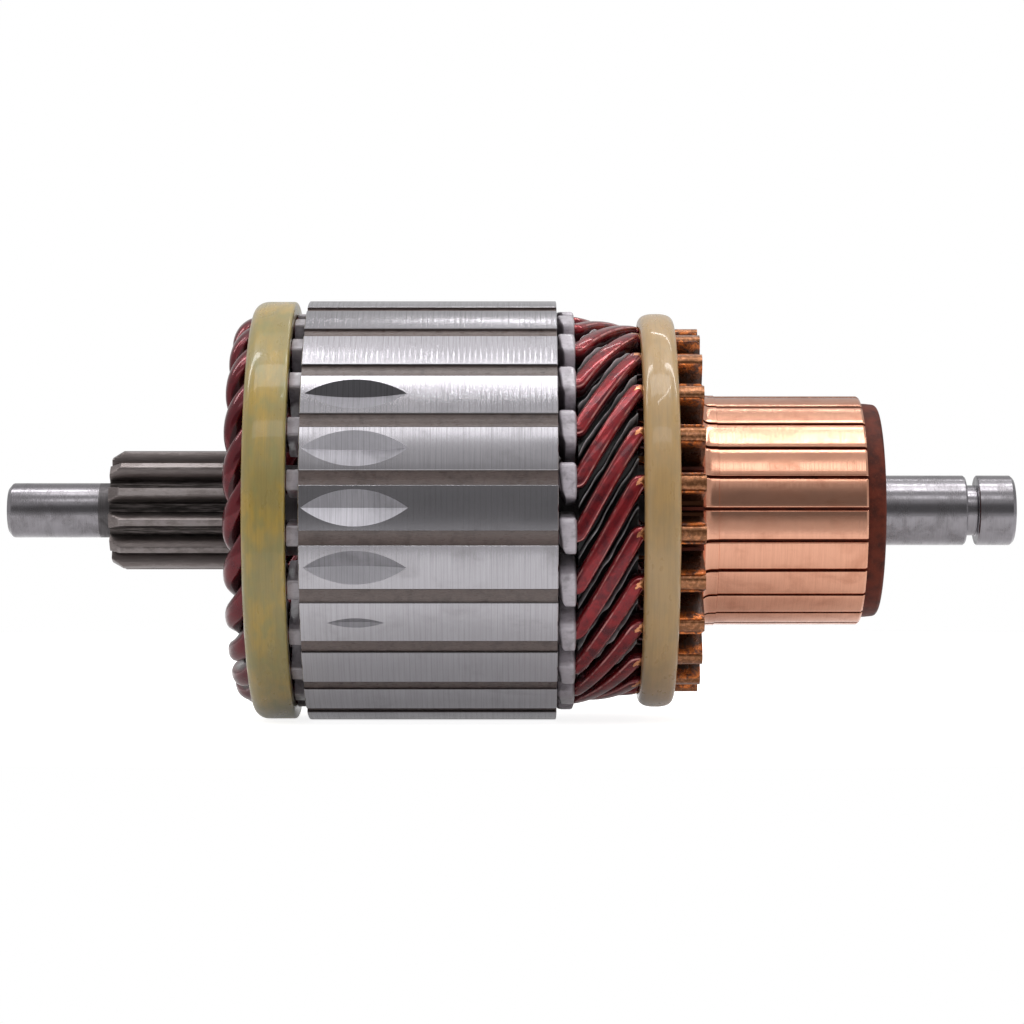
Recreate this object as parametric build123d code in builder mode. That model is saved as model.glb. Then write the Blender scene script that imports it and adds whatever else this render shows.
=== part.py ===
from build123d import *
from math import atan, atan2, cos, degrees, hypot, pi, radians, sin, sqrt, tan
import os

# Motor armature, in millimetres. X runs along the shaft towards the commutator, Z is up,
# and the origin is on the shaft's axis at the middle of its length.

# Lengths along the shaft, from the drive end to the commutator end
drive_journal_length = 15.0
pinion_length = 22.0
drive_shoulder_length = 6.3
core_length = 35.1
core_to_commutator = 14.5
moulding_back_length = 1.5
riser_length = 4.2
track_length = 23.1
end_ring_length = 2.6
commutator_journal_length = 12.75
groove_length = 1.65
collar_length = 5.3

# Shaft
drive_journal_radius = 3.9
body_radius = 6.5
commutator_journal_radius = 5.0
groove_radius = 3.6
drive_end_chamfer = 0.6
collar_chamfer = 0.4

# Pinion
tooth_count = 12
gear_module = 1.25
pressure_angle = 20.0
addendum = 1.1
dedendum = 1.45
tooth_chamfer_depth = 1.0
tooth_chamfer_length = 1.6
root_sink = 0.4
pinion_phase = 191.8

# Core
core_radius = 30.0
slot_count = 23
slot_opening = 2.0
slot_lip = 1.35
slot_shoulder = 0.5
winding_phase = 187.2
cut_offset = 7.6
cutter_radius = 25.0
cutter_slope = 69.0
cutter_edge_height = 4.0
cut_depths = {-2: 1.0, -1: 1.08, 0: 1.07, 1: 1.0, 2: 0.26}

# Winding
conductor_width = 2.2
conductor_height = 3.0
layer_gap = 0.6
coil_throw = 4
front_pitch = 2
bend_reach = 0.8
drive_end_slope = 65.0
nose_slope = 40.0
nose_steps = 3
slant_steps = 3
bare_height = 2.8
bare_drop = 1.8
bare_reach = 4.9
bare_joggle = 2.0
end_bevel = 0.6

# Paper insulation
liner_thickness = 0.35
liner_drive_reach = 1.7
cuff_length = 2.5
cuff_width = 5.0
cuff_rise = 0.35
cuff_chamfer = 0.7
sleeve_thickness = 0.2
sleeve_end_gap = 0.5
sleeve_nose_gap = 1.0
sleeve_creases = 46

# Bandings
drive_band_gap = 1.8
drive_band_length = 6.0
drive_band_thickness = 1.98
drive_band_shoulder = 2.0
drive_band_drop = 1.3
commutator_band_length = 5.0
commutator_band_thickness = 1.78
commutator_band_lap = 0.7
commutator_band_side = 0.3
commutator_band_crown = 1.8
band_clearance = 0.1

# Commutator
track_radius = 16.4
bar_gap = 0.45
bar_foot_radius = 10.5
neck_flare = 1.6
riser_cheek = 0.35
riser_drop = 0.4
undercut = 0.7
riser_fin_rise = 0.2
end_ring_radius = 15.2
end_ring_bevel = 0.6
moulding_back_radius = 15.0
shaft_step_setback = 0.3

# Places along the shaft
shaft_length = (
    drive_journal_length + pinion_length + drive_shoulder_length
    + core_length + core_to_commutator + moulding_back_length + riser_length
    + track_length + end_ring_length
    + commutator_journal_length + groove_length + collar_length
)
shaft_start = -shaft_length / 2
pinion_start = shaft_start + drive_journal_length
pinion_end = pinion_start + pinion_length
core_start = pinion_end + drive_shoulder_length
core_end = core_start + core_length
moulding_start = core_end + core_to_commutator
riser_start = moulding_start + moulding_back_length
riser_end = riser_start + riser_length
track_end = riser_end + track_length
moulding_end = track_end + end_ring_length
groove_start = moulding_end + commutator_journal_length
collar_start = groove_start + groove_length
shaft_end = collar_start + collar_length
liner_start = core_start - liner_drive_reach
cuff_end = core_end + cuff_length
slant_end = riser_start - bare_reach

# Radii of the winding's layers
slot_pitch = 360 / slot_count
slot_width = conductor_width + 2 * liner_thickness
slot_top = core_radius - slot_lip - slot_shoulder
top_outer = slot_top - liner_thickness
top_radius = top_outer - conductor_height / 2
bottom_radius = top_radius - conductor_height - layer_gap
bottom_inner = bottom_radius - conductor_height / 2
slot_floor = bottom_inner - liner_thickness
bare_outer_radius = top_outer - bare_drop
bare_top_radius = bare_outer_radius - bare_height / 2
bare_bottom_radius = bare_top_radius - bare_height
riser_floor = bare_bottom_radius - bare_height / 2
riser_outer_radius = bare_outer_radius - riser_drop
riser_fin_radius = riser_floor + riser_fin_rise
middle_radius = (top_radius + bottom_radius) / 2
joint_radius = bare_outer_radius - bare_height
slant_top_radius = joint_radius + (layer_gap + bare_height) / 2
slant_bottom_radius = joint_radius - (layer_gap + bare_height) / 2

slant_reach = slant_end - cuff_end
slant_tilt = degrees(atan((middle_radius - joint_radius) / slant_reach))

# Drive-end turn: how far the slanted runs go before the nose folds down to the lower layer
nose_radius = (top_radius - bottom_radius) / 2
nose_turn = degrees(pi * nose_radius * tan(radians(nose_slope)) / middle_radius)
run_travel = radians(coil_throw * slot_pitch - nose_turn) / (1 / top_radius + 1 / bottom_radius)
run_start = liner_start - bend_reach
nose_start = run_start - run_travel / tan(radians(drive_end_slope))

os.makedirs("parts", exist_ok=True)


def polar_plane(x, angle):
    """Plane across the shaft at x, with its own x direction pointing outwards at the angle."""
    outward = Vector(0, cos(radians(angle)), sin(radians(angle)))
    return Plane(origin=(x, 0, 0), x_dir=outward, z_dir=(1, 0, 0))


def section(x, radius, angle, slope=0.0, lean=0.0, bend=0.0, height=conductor_height):
    """Corners of the conductor's section, square to a run that slopes round the shaft.

    The lean turns the conductor's outer face from outwards, at 0, through the nose at 90,
    to inwards at 180, where the conductor runs back. At a bend the section is the mitre,
    wider by the bend's half angle.
    """
    turn, rise, tip = radians(angle), radians(slope), radians(lean)
    along = Vector(1, 0, 0)
    outward = Vector(0, cos(turn), sin(turn))
    around = Vector(0, -sin(turn), cos(turn))
    outer_face = outward * cos(tip) - along * sin(tip)
    forward = along * -cos(tip) - outward * sin(tip)
    tangent = forward * cos(rise) + around * sin(rise)
    centre = along * x + outward * radius
    across = tangent.cross(outer_face) * (conductor_width / 2 / cos(radians(bend) / 2))
    upward = outer_face * (height / 2)
    return [centre + across * i + upward * j for i in (-1, 1) for j in (-1, 1)]


def slanted_leg(slot_radius, slant_radius, bare_radius, angle, lean):
    """Sections of one leg from the cuff, up or down the slant, to the bare end in its riser."""
    way = 1 if lean else -1
    travel = radians(front_pitch * slot_pitch) * (slot_radius + slant_radius) / 2
    slope = degrees(atan2(travel, slant_reach - 2 * bend_reach))
    end_angle = angle + way * front_pitch * slot_pitch
    leg = [section(cuff_end, slot_radius, angle, lean=lean)]
    for step in range(slant_steps + 1):
        turned = step / slant_steps
        x = cuff_end + bend_reach + (slant_reach - 2 * bend_reach) * turned
        share = (x - cuff_end) / slant_reach
        radius = slot_radius + (slant_radius - slot_radius) * share
        height = conductor_height + (bare_height - conductor_height) * share
        bend = slope if step in (0, slant_steps) else 0
        corner_angle = angle + way * front_pitch * slot_pitch * turned
        leg.append(section(x, radius, corner_angle, slope - bend / 2, lean - slant_tilt, bend, height))
    leg.append(section(slant_end, slant_radius, end_angle, lean=lean, height=bare_height))
    leg.append(section(slant_end + bare_joggle, bare_radius, end_angle, lean=lean, height=bare_height))
    return leg, end_angle


def drive_end_turn():
    """Sections from the top leg's slot, round the nose, to the bottom leg's slot."""
    far_angle = coil_throw * slot_pitch
    bend = drive_end_slope
    middle_x = (run_start + nose_start) / 2
    top_turn = degrees(run_travel / top_radius)
    bottom_turn = degrees(run_travel / bottom_radius)
    turn = [
        section(liner_start, top_radius, 0),
        section(run_start, top_radius, 0, bend / 2, 0, bend),
        section(middle_x, top_radius, top_turn / 2, drive_end_slope),
    ]
    for step in range(nose_steps + 1):
        lean = 180 * step / nose_steps
        slope = (nose_slope + drive_end_slope) / 2 if step in (0, nose_steps) else nose_slope
        x = nose_start - nose_radius * sin(radians(lean))
        radius = middle_radius + nose_radius * cos(radians(lean))
        turn.append(section(x, radius, top_turn + nose_turn * step / nose_steps, slope, lean))
    turn += [
        section(middle_x, bottom_radius, far_angle - bottom_turn / 2, drive_end_slope, 180),
        section(run_start, bottom_radius, far_angle, bend / 2, 180, bend),
        section(liner_start, bottom_radius, far_angle, lean=180),
    ]
    return turn


def involute_point(base, radius, half_thickness_angle):
    """Point of an involute flank at a radius, for a flank that starts from the base circle."""
    roll = sqrt((radius / base) ** 2 - 1)
    angle = half_thickness_angle - (roll - atan2(roll, 1))
    return Vector(radius * cos(angle), radius * sin(angle))


# Shaft with its pinion
pitch_radius = gear_module * tooth_count / 2
tip_radius = pitch_radius + addendum
root_radius = pitch_radius - dedendum
base_radius = pitch_radius * cos(radians(pressure_angle))
pitch_roll = tan(radians(pressure_angle)) - radians(pressure_angle)
base_half_angle = pi / (2 * tooth_count) + pitch_roll

flank = [involute_point(base_radius, radius, base_half_angle)
         for radius in (base_radius, (base_radius + tip_radius) / 2, tip_radius)]
buried_radius = root_radius - root_sink
tooth_foot = Vector(buried_radius * cos(base_half_angle), buried_radius * sin(base_half_angle))

with BuildSketch() as tooth:
    with BuildLine():
        Polyline(tooth_foot, *flank)
        mirror(about=Plane.XZ)
        Line(flank[2], (flank[2].X, -flank[2].Y))
        Line(tooth_foot, (tooth_foot.X, -tooth_foot.Y))
    make_face()

with BuildPart() as shaft:
    with BuildSketch(Plane.XY):
        with BuildLine():
            Polyline(
                (shaft_start, 0),
                (shaft_start, drive_journal_radius - drive_end_chamfer),
                (shaft_start + drive_end_chamfer, drive_journal_radius),
                (pinion_start, drive_journal_radius),
                (pinion_start, root_radius),
                (pinion_end, root_radius),
                (pinion_end, body_radius),
                (moulding_end - shaft_step_setback, body_radius),
                (moulding_end - shaft_step_setback, commutator_journal_radius),
                (groove_start, commutator_journal_radius),
                (groove_start, groove_radius),
                (collar_start, groove_radius),
                (collar_start, commutator_journal_radius),
                (shaft_end - collar_chamfer, commutator_journal_radius),
                (shaft_end, commutator_journal_radius - collar_chamfer),
                (shaft_end, 0),
                close=True,
            )
        make_face()
    revolve(axis=Axis.X)
    with BuildSketch(polar_plane(pinion_start, pinion_phase)):
        with PolarLocations(0, tooth_count):
            add(tooth.sketch)
    extrude(amount=pinion_length)
    with BuildSketch(Plane.XY):
        Polygon(
            (pinion_start, tip_radius - tooth_chamfer_depth),
            (pinion_start + tooth_chamfer_length, tip_radius),
            (pinion_start, tip_radius + tooth_chamfer_depth),
            align=None,
        )
    revolve(axis=Axis.X, mode=Mode.SUBTRACT)
shaft.part.label = "shaft"
export_step(shaft.part, "parts/shaft.step")

# Core, a stack of sheets with a semi-closed slot for each coil
with BuildSketch() as slot_outline:
    Polygon(
        (slot_floor, slot_width / 2),
        (slot_top, slot_width / 2),
        (slot_top + slot_shoulder, slot_opening / 2),
        (core_radius + 1, slot_opening / 2),
        (core_radius + 1, -slot_opening / 2),
        (slot_top + slot_shoulder, -slot_opening / 2),
        (slot_top, -slot_width / 2),
        (slot_floor, -slot_width / 2),
        align=None,
    )

with BuildPart() as core:
    with BuildSketch(polar_plane(core_start, winding_phase)):
        Circle(core_radius)
        Circle(body_radius, mode=Mode.SUBTRACT)
        with PolarLocations(0, slot_count):
            add(slot_outline.sketch, mode=Mode.SUBTRACT)
    extrude(amount=core_length)
    for tooth_number, depth in cut_depths.items():
        cut_plane = polar_plane(core_start + cut_offset, winding_phase + (tooth_number - 0.5) * slot_pitch)
        rim = core_radius - depth
        with BuildSketch(cut_plane):
            Polygon(
                (rim, 0),
                (rim + cutter_edge_height, cutter_edge_height * tan(radians(cutter_slope))),
                (rim + cutter_edge_height, -cutter_edge_height * tan(radians(cutter_slope))),
                align=None,
            )
        cutter_axis = Axis(cut_plane.from_local_coords((rim + cutter_radius, 0, 0)), cut_plane.y_dir)
        revolve(axis=cutter_axis, mode=Mode.SUBTRACT)
core.part.label = "core_laminations"
export_step(core.part, "parts/core_laminations.step")

# Paper sleeves that line the slots, each with a thick cuff against the core's end
stack_height = top_outer - bottom_inner
stack_radius = (top_outer + bottom_inner) / 2
cuff_height = stack_height + 2 * (liner_thickness + cuff_rise)

with BuildSketch() as cuff_outline:
    Rectangle(cuff_height, cuff_width)
    chamfer(cuff_outline.vertices().group_by(Axis.X)[-1], cuff_chamfer)
    Rectangle(stack_height, conductor_width, mode=Mode.SUBTRACT)

with BuildPart() as slot_liners:
    with BuildSketch(polar_plane(liner_start, winding_phase)):
        with PolarLocations(stack_radius, slot_count):
            Rectangle(stack_height + 2 * liner_thickness, slot_width)
            Rectangle(stack_height, conductor_width, mode=Mode.SUBTRACT)
    extrude(amount=core_end - liner_start)
    with BuildSketch(polar_plane(core_end, winding_phase)):
        with PolarLocations(stack_radius, slot_count):
            add(cuff_outline.sketch)
    extrude(amount=cuff_length)
slot_liners.part.label = "slot_liners"
export_step(slot_liners.part, "parts/slot_liners.step")

with BuildPart() as slot_separators:
    with BuildSketch(polar_plane(liner_start, winding_phase)):
        with PolarLocations(middle_radius, slot_count):
            Rectangle(layer_gap, conductor_width)
    extrude(amount=cuff_end - liner_start)
slot_separators.part.label = "slot_separators"
export_step(slot_separators.part, "parts/slot_separators.step")

# Paper sleeves between the two layers of slanted conductors, creased once for each conductor
with BuildPart() as drive_end_layer_sleeve:
    with BuildSketch(polar_plane(nose_start + sleeve_nose_gap, winding_phase)):
        RegularPolygon(middle_radius + sleeve_thickness / 2, sleeve_creases)
        RegularPolygon(middle_radius - sleeve_thickness / 2, sleeve_creases, mode=Mode.SUBTRACT)
    extrude(amount=liner_start - sleeve_end_gap - nose_start - sleeve_nose_gap)
drive_end_layer_sleeve.part.label = "drive_end_layer_sleeve"
export_step(drive_end_layer_sleeve.part, "parts/drive_end_layer_sleeve.step")

sleeve_start = cuff_end + sleeve_end_gap
sleeve_end = slant_end - sleeve_end_gap
sleeve_fall = (middle_radius - joint_radius) * sleeve_end_gap / slant_reach
sleeve_mouths = ((sleeve_start, middle_radius - sleeve_fall), (sleeve_end, joint_radius + sleeve_fall))

with BuildPart() as commutator_end_layer_sleeve:
    for side, mode in ((1, Mode.ADD), (-1, Mode.SUBTRACT)):
        for x, radius in sleeve_mouths:
            with BuildSketch(polar_plane(x, winding_phase)):
                RegularPolygon(radius + side * sleeve_thickness / 2, sleeve_creases)
        loft(ruled=True, mode=mode)
commutator_end_layer_sleeve.part.label = "commutator_end_layer_sleeve"
export_step(commutator_end_layer_sleeve.part, "parts/commutator_end_layer_sleeve.step")

# Hairpin coil: bare end, slant, top leg, nose, bottom leg, slant and bare end
top_leg, top_end_angle = slanted_leg(top_radius, slant_top_radius, bare_top_radius, 0, 0)
top_leg.append(section(riser_end - end_bevel, bare_top_radius, top_end_angle, height=bare_height))
top_leg.append(section(riser_end, bare_top_radius - end_bevel / 2, top_end_angle,
                       height=bare_height - end_bevel))
bottom_leg, bottom_end_angle = slanted_leg(
    bottom_radius, slant_bottom_radius, bare_bottom_radius, coil_throw * slot_pitch, 180
)
bottom_leg.append(section(riser_end, bare_bottom_radius, bottom_end_angle, lean=180, height=bare_height))
coil_sections = top_leg[::-1] + drive_end_turn() + bottom_leg

with BuildPart() as hairpin:
    for near, far in zip(coil_sections, coil_sections[1:]):
        ConvexPolyhedron(near + far)

for number in range(slot_count):
    coil_name = f"coil_{number + 1:02d}"
    with BuildPart() as coil:
        add(hairpin.part, rotation=(winding_phase + number * slot_pitch, 0, 0))
    coil.part.label = coil_name
    export_step(coil.part, f"parts/{coil_name}.step")

# Bandings of resin and glass over both ends of the winding
drive_band_end = core_start - drive_band_gap
drive_band_start = drive_band_end - drive_band_length
drive_band_bore = hypot(top_outer, conductor_width / 2) + band_clearance
drive_band_radius = drive_band_bore + drive_band_thickness

with BuildPart() as drive_end_band:
    with BuildSketch(Plane.XY):
        Polygon(
            (drive_band_start, drive_band_bore),
            (drive_band_end, drive_band_bore),
            (drive_band_end, drive_band_radius),
            (drive_band_start + drive_band_shoulder, drive_band_radius),
            (drive_band_start, drive_band_radius - drive_band_drop),
            align=None,
        )
    revolve(axis=Axis.X)
drive_end_band.part.label = "drive_end_band"
export_step(drive_end_band.part, "parts/drive_end_band.step")

commutator_band_end = riser_start + commutator_band_lap
commutator_band_start = commutator_band_end - commutator_band_length
commutator_band_bore = hypot(slant_top_radius + bare_height / 2, conductor_width / 2) + band_clearance
commutator_band_edge = commutator_band_bore + commutator_band_side
commutator_band_radius = commutator_band_bore + commutator_band_thickness

with BuildPart() as commutator_end_band:
    with BuildSketch(Plane.XY):
        Polygon(
            (commutator_band_start, commutator_band_bore),
            (commutator_band_end, commutator_band_bore),
            (commutator_band_end, commutator_band_edge),
            (commutator_band_end - commutator_band_crown, commutator_band_radius),
            (commutator_band_start + commutator_band_crown, commutator_band_radius),
            (commutator_band_start, commutator_band_edge),
            align=None,
        )
    revolve(axis=Axis.X)
commutator_end_band.part.label = "commutator_end_band"
export_step(commutator_end_band.part, "parts/commutator_end_band.step")

# Commutator bar with its neck and a riser that holds two bare ends
neck_top = track_radius + neck_flare
riser_width = conductor_width + 2 * riser_cheek
half_pitch = radians(slot_pitch / 2)
wedge_apex = bar_gap / 2 / sin(half_pitch)
foot_half_width = (bar_foot_radius - wedge_apex) * tan(half_pitch)
crown_half_width = (core_radius - wedge_apex) * tan(half_pitch)

with BuildPart() as bar:
    with BuildSketch(Plane.XY.rotated((-slot_pitch / 2, 0, 0))):
        Polygon(
            (riser_start, body_radius),
            (track_end, body_radius),
            (track_end, track_radius),
            (riser_end + neck_flare, track_radius),
            (riser_end, neck_top),
            (riser_start, neck_top),
            align=None,
        )
    revolve(axis=Axis.X, revolution_arc=slot_pitch)
    with BuildSketch(Plane.XY):
        Polygon(
            (riser_start, track_radius),
            (riser_end, track_radius),
            (riser_end, riser_outer_radius - end_bevel),
            (riser_end - end_bevel, riser_outer_radius),
            (riser_start, riser_outer_radius),
            align=None,
        )
    extrude(amount=riser_width / 2, both=True)
    with BuildSketch(Plane.XY):
        Polygon(
            (riser_start, riser_floor),
            (riser_end, riser_floor),
            (riser_end, bare_outer_radius),
            (riser_start, bare_outer_radius),
            align=None,
        )
    extrude(amount=conductor_width / 2, both=True, mode=Mode.SUBTRACT)
    with BuildSketch(polar_plane(riser_start, 0)):
        Polygon(
            (bar_foot_radius, foot_half_width),
            (core_radius, crown_half_width),
            (core_radius, -crown_half_width),
            (bar_foot_radius, -foot_half_width),
            align=None,
        )
    extrude(amount=track_end - riser_start, mode=Mode.INTERSECT)

for number in range(slot_count):
    bar_name = f"commutator_bar_{number + 1:02d}"
    with BuildPart() as placed_bar:
        add(bar.part, rotation=(winding_phase + number * slot_pitch, 0, 0))
    placed_bar.part.label = bar_name
    export_step(placed_bar.part, f"parts/{bar_name}.step")

# Moulded hub that the bars sit on, with a fin in each gap between them
with BuildSketch() as track_fin:
    Rectangle(track_radius - undercut - body_radius, bar_gap, align=(Align.MIN, Align.CENTER))

with BuildSketch() as riser_fin:
    Rectangle(riser_fin_radius - body_radius, bar_gap, align=(Align.MIN, Align.CENTER))

with BuildPart() as commutator_moulding:
    for fin, length in ((track_fin, track_end - riser_start), (riser_fin, riser_length)):
        with BuildSketch(polar_plane(riser_start, winding_phase + slot_pitch / 2)):
            RegularPolygon(bar_foot_radius, slot_count, major_radius=False)
            with PolarLocations(body_radius, slot_count):
                add(fin.sketch)
            Circle(body_radius, mode=Mode.SUBTRACT)
        extrude(amount=length)
    with BuildSketch(Plane.XY):
        Polygon(
            (moulding_start, body_radius),
            (riser_start, body_radius),
            (riser_start, moulding_back_radius),
            (moulding_start, moulding_back_radius),
            align=None,
        )
        Polygon(
            (track_end, body_radius),
            (moulding_end, body_radius),
            (moulding_end, end_ring_radius - end_ring_bevel),
            (moulding_end - end_ring_bevel, end_ring_radius),
            (track_end, end_ring_radius),
            align=None,
        )
    revolve(axis=Axis.X)
commutator_moulding.part.label = "commutator_moulding"
export_step(commutator_moulding.part, "parts/commutator_moulding.step")
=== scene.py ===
"""Motor armature: the looks of a wound rotor with a cut pinion, hairpin winding and commutator."""

import logging
import math
from dataclasses import dataclass, field
from enum import Enum

import bmesh
import bpy
import numpy as np
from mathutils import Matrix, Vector


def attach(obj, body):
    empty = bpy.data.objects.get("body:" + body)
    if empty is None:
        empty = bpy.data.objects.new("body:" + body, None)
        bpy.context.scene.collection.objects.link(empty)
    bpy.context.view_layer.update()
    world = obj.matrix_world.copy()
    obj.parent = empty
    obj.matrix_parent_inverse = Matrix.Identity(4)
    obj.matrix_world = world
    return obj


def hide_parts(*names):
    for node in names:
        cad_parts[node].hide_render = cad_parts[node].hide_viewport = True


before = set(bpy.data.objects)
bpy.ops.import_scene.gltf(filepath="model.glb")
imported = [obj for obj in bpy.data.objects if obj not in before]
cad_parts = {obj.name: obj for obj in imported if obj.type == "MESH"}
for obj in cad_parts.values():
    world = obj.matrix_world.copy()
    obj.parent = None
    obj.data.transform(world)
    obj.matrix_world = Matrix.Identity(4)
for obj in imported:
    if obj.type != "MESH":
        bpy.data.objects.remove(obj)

Pair = tuple[float, float]
Triple = tuple[float, float, float]
Socket = bpy.types.NodeSocket
Material = bpy.types.Material

MM = 0.001
MERGE_REACH = 2e-6  # metres: points nearer than this become one
THIN_EDGE = 1e-7  # metres: faces thinner than this are dropped
HALVINGS = 30  # steps that close in on the edge of a cut
SLOT_EDGE_SHADE = 0.75  # how dark the painted shade on the burrs and the slots' lips is
CORE_END_SHADE = 0.45  # how dark the painted shade on the core's end faces is
log = logging.getLogger("armature")


class Turn(Enum):
    """Which way a surface's grid is wound, so that its faces point outwards."""

    PLAIN = 0
    REVERSED = 1


class WallLight(Enum):
    """Painted light and shade on one wall of a balance cut: a shaded, a middling and a lit copy of the same
    milled steel; the value is the wall's material.
    """

    DULL = 1
    EVEN = 2
    LIT = 3


@dataclass(frozen=True)
class Layout:
    """Places along the shaft and radii that the pieces share, in millimetres and degrees."""

    slot_count: int = 23
    winding_phase: float = 187.2
    shaft_start: float = -72.0
    neck_start: float = -58.9
    pinion_start: float = -57.0
    pinion_end: float = -35.0
    core_start: float = -28.7
    core_end: float = 6.4
    liner_start: float = -30.4
    cuff_end: float = 8.9
    slant_end: float = 17.5
    moulding_start: float = 20.9
    riser_start: float = 22.4
    riser_end: float = 26.6
    track_end: float = 49.7
    moulding_end: float = 52.3
    groove_start: float = 65.05
    collar_start: float = 66.7
    shaft_end: float = 72.0
    core_radius: float = 30.0
    body_radius: float = 6.5
    conductor_width: float = 2.2
    conductor_height: float = 3.0
    bare_height: float = 2.8
    top_radius: float = 26.3
    bottom_radius: float = 22.7
    joint_radius: float = 23.2
    bare_top_radius: float = 24.6
    bare_bottom_radius: float = 21.8
    slant_top_radius: float = 24.9
    slant_bottom_radius: float = 21.5

    @property
    def pitch(self) -> float:
        """Angle from one slot to the next, in degrees."""
        return 360.0 / self.slot_count

    @property
    def middle_radius(self) -> float:
        """Radius midway between the two layers."""
        return (self.top_radius + self.bottom_radius) / 2

    def slot_angle(self, number: float) -> float:
        """Angle of a slot's middle, in degrees, counted from the first slot."""
        return self.winding_phase + number * self.pitch


def around(x: np.ndarray, radius: np.ndarray, angle: np.ndarray) -> np.ndarray:
    """Points from cylindrical coordinates: across the shaft is radius times (cosine, sine) of the angle.

    Args:
        x: Places along the shaft, in millimetres.
        radius: Distances from the axis, in millimetres.
        angle: Angles in degrees, from +Y towards +Z.

    Returns:
        Points with a last axis of three.
    """
    x, radius, angle = np.broadcast_arrays(x, radius, np.radians(angle))
    return np.stack([x, radius * np.cos(angle), radius * np.sin(angle)], axis=-1)


def upright(x: np.ndarray, rise: np.ndarray, side: np.ndarray, angle: float) -> np.ndarray:
    """Points from a place along the shaft, a height outwards and a distance sideways at one angle.

    Args:
        x: Places along the shaft.
        rise: Distances from the axis, measured along the angle's own direction.
        side: Distances sideways, towards larger angles.
        angle: The direction of the height, in degrees.

    Returns:
        Points with a last axis of three.
    """
    x, rise, side = np.broadcast_arrays(x, rise, side)
    turn = math.radians(angle)
    return np.stack([
        x,
        rise * math.cos(turn) - side * math.sin(turn),
        rise * math.sin(turn) + side * math.cos(turn),
    ], axis=-1)


def corner_arc(centre: Pair, radius: float, start: float, end: float, count: int) -> np.ndarray:
    """Points on an arc: centre plus radius times (cosine, sine), from one angle to the other."""
    angle = np.radians(np.linspace(start, end, count))
    return np.stack([centre[0] + radius * np.cos(angle), centre[1] + radius * np.sin(angle)], axis=-1)


def rounded_rectangle(width: float, height: float, corner: float, count: int = 4) -> np.ndarray:
    """Outline of a rectangle with round corners, from the middle of its lower side anticlockwise.

    Args:
        width: Size along the first axis.
        height: Size along the second axis.
        corner: Radius of the corners.
        count: Points on each corner.

    Returns:
        Points of the closed outline, without the first one repeated.
    """
    across, up = width / 2 - corner, height / 2 - corner
    arcs = [
        corner_arc((across, -up), corner, -90, 0, count),
        corner_arc((across, up), corner, 0, 90, count),
        corner_arc((-across, up), corner, 90, 180, count),
        corner_arc((-across, -up), corner, 180, 270, count),
    ]
    return np.concatenate([np.array([[0.0, -height / 2]])] + arcs)


def wander(angle: np.ndarray, seed: int, waves: tuple[int, ...] = (2, 3, 5, 9, 14)) -> np.ndarray:
    """Slow unevenness round the shaft: a sum of cosines with seeded phases, about one at most.

    Args:
        angle: Angles in degrees.
        seed: Which unevenness, the same each run.
        waves: Number of waves round the shaft for each cosine.

    Returns:
        Values of the same shape as the angles.
    """
    phases = np.random.default_rng(seed).uniform(0, 2 * math.pi, len(waves))
    pairs = enumerate(zip(waves, phases))
    total = sum(np.cos(np.radians(angle) * count + phase) / (1 + i) for i, (count, phase) in pairs)
    return total / sum(1 / (1 + i) for i in range(len(waves)))


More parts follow.
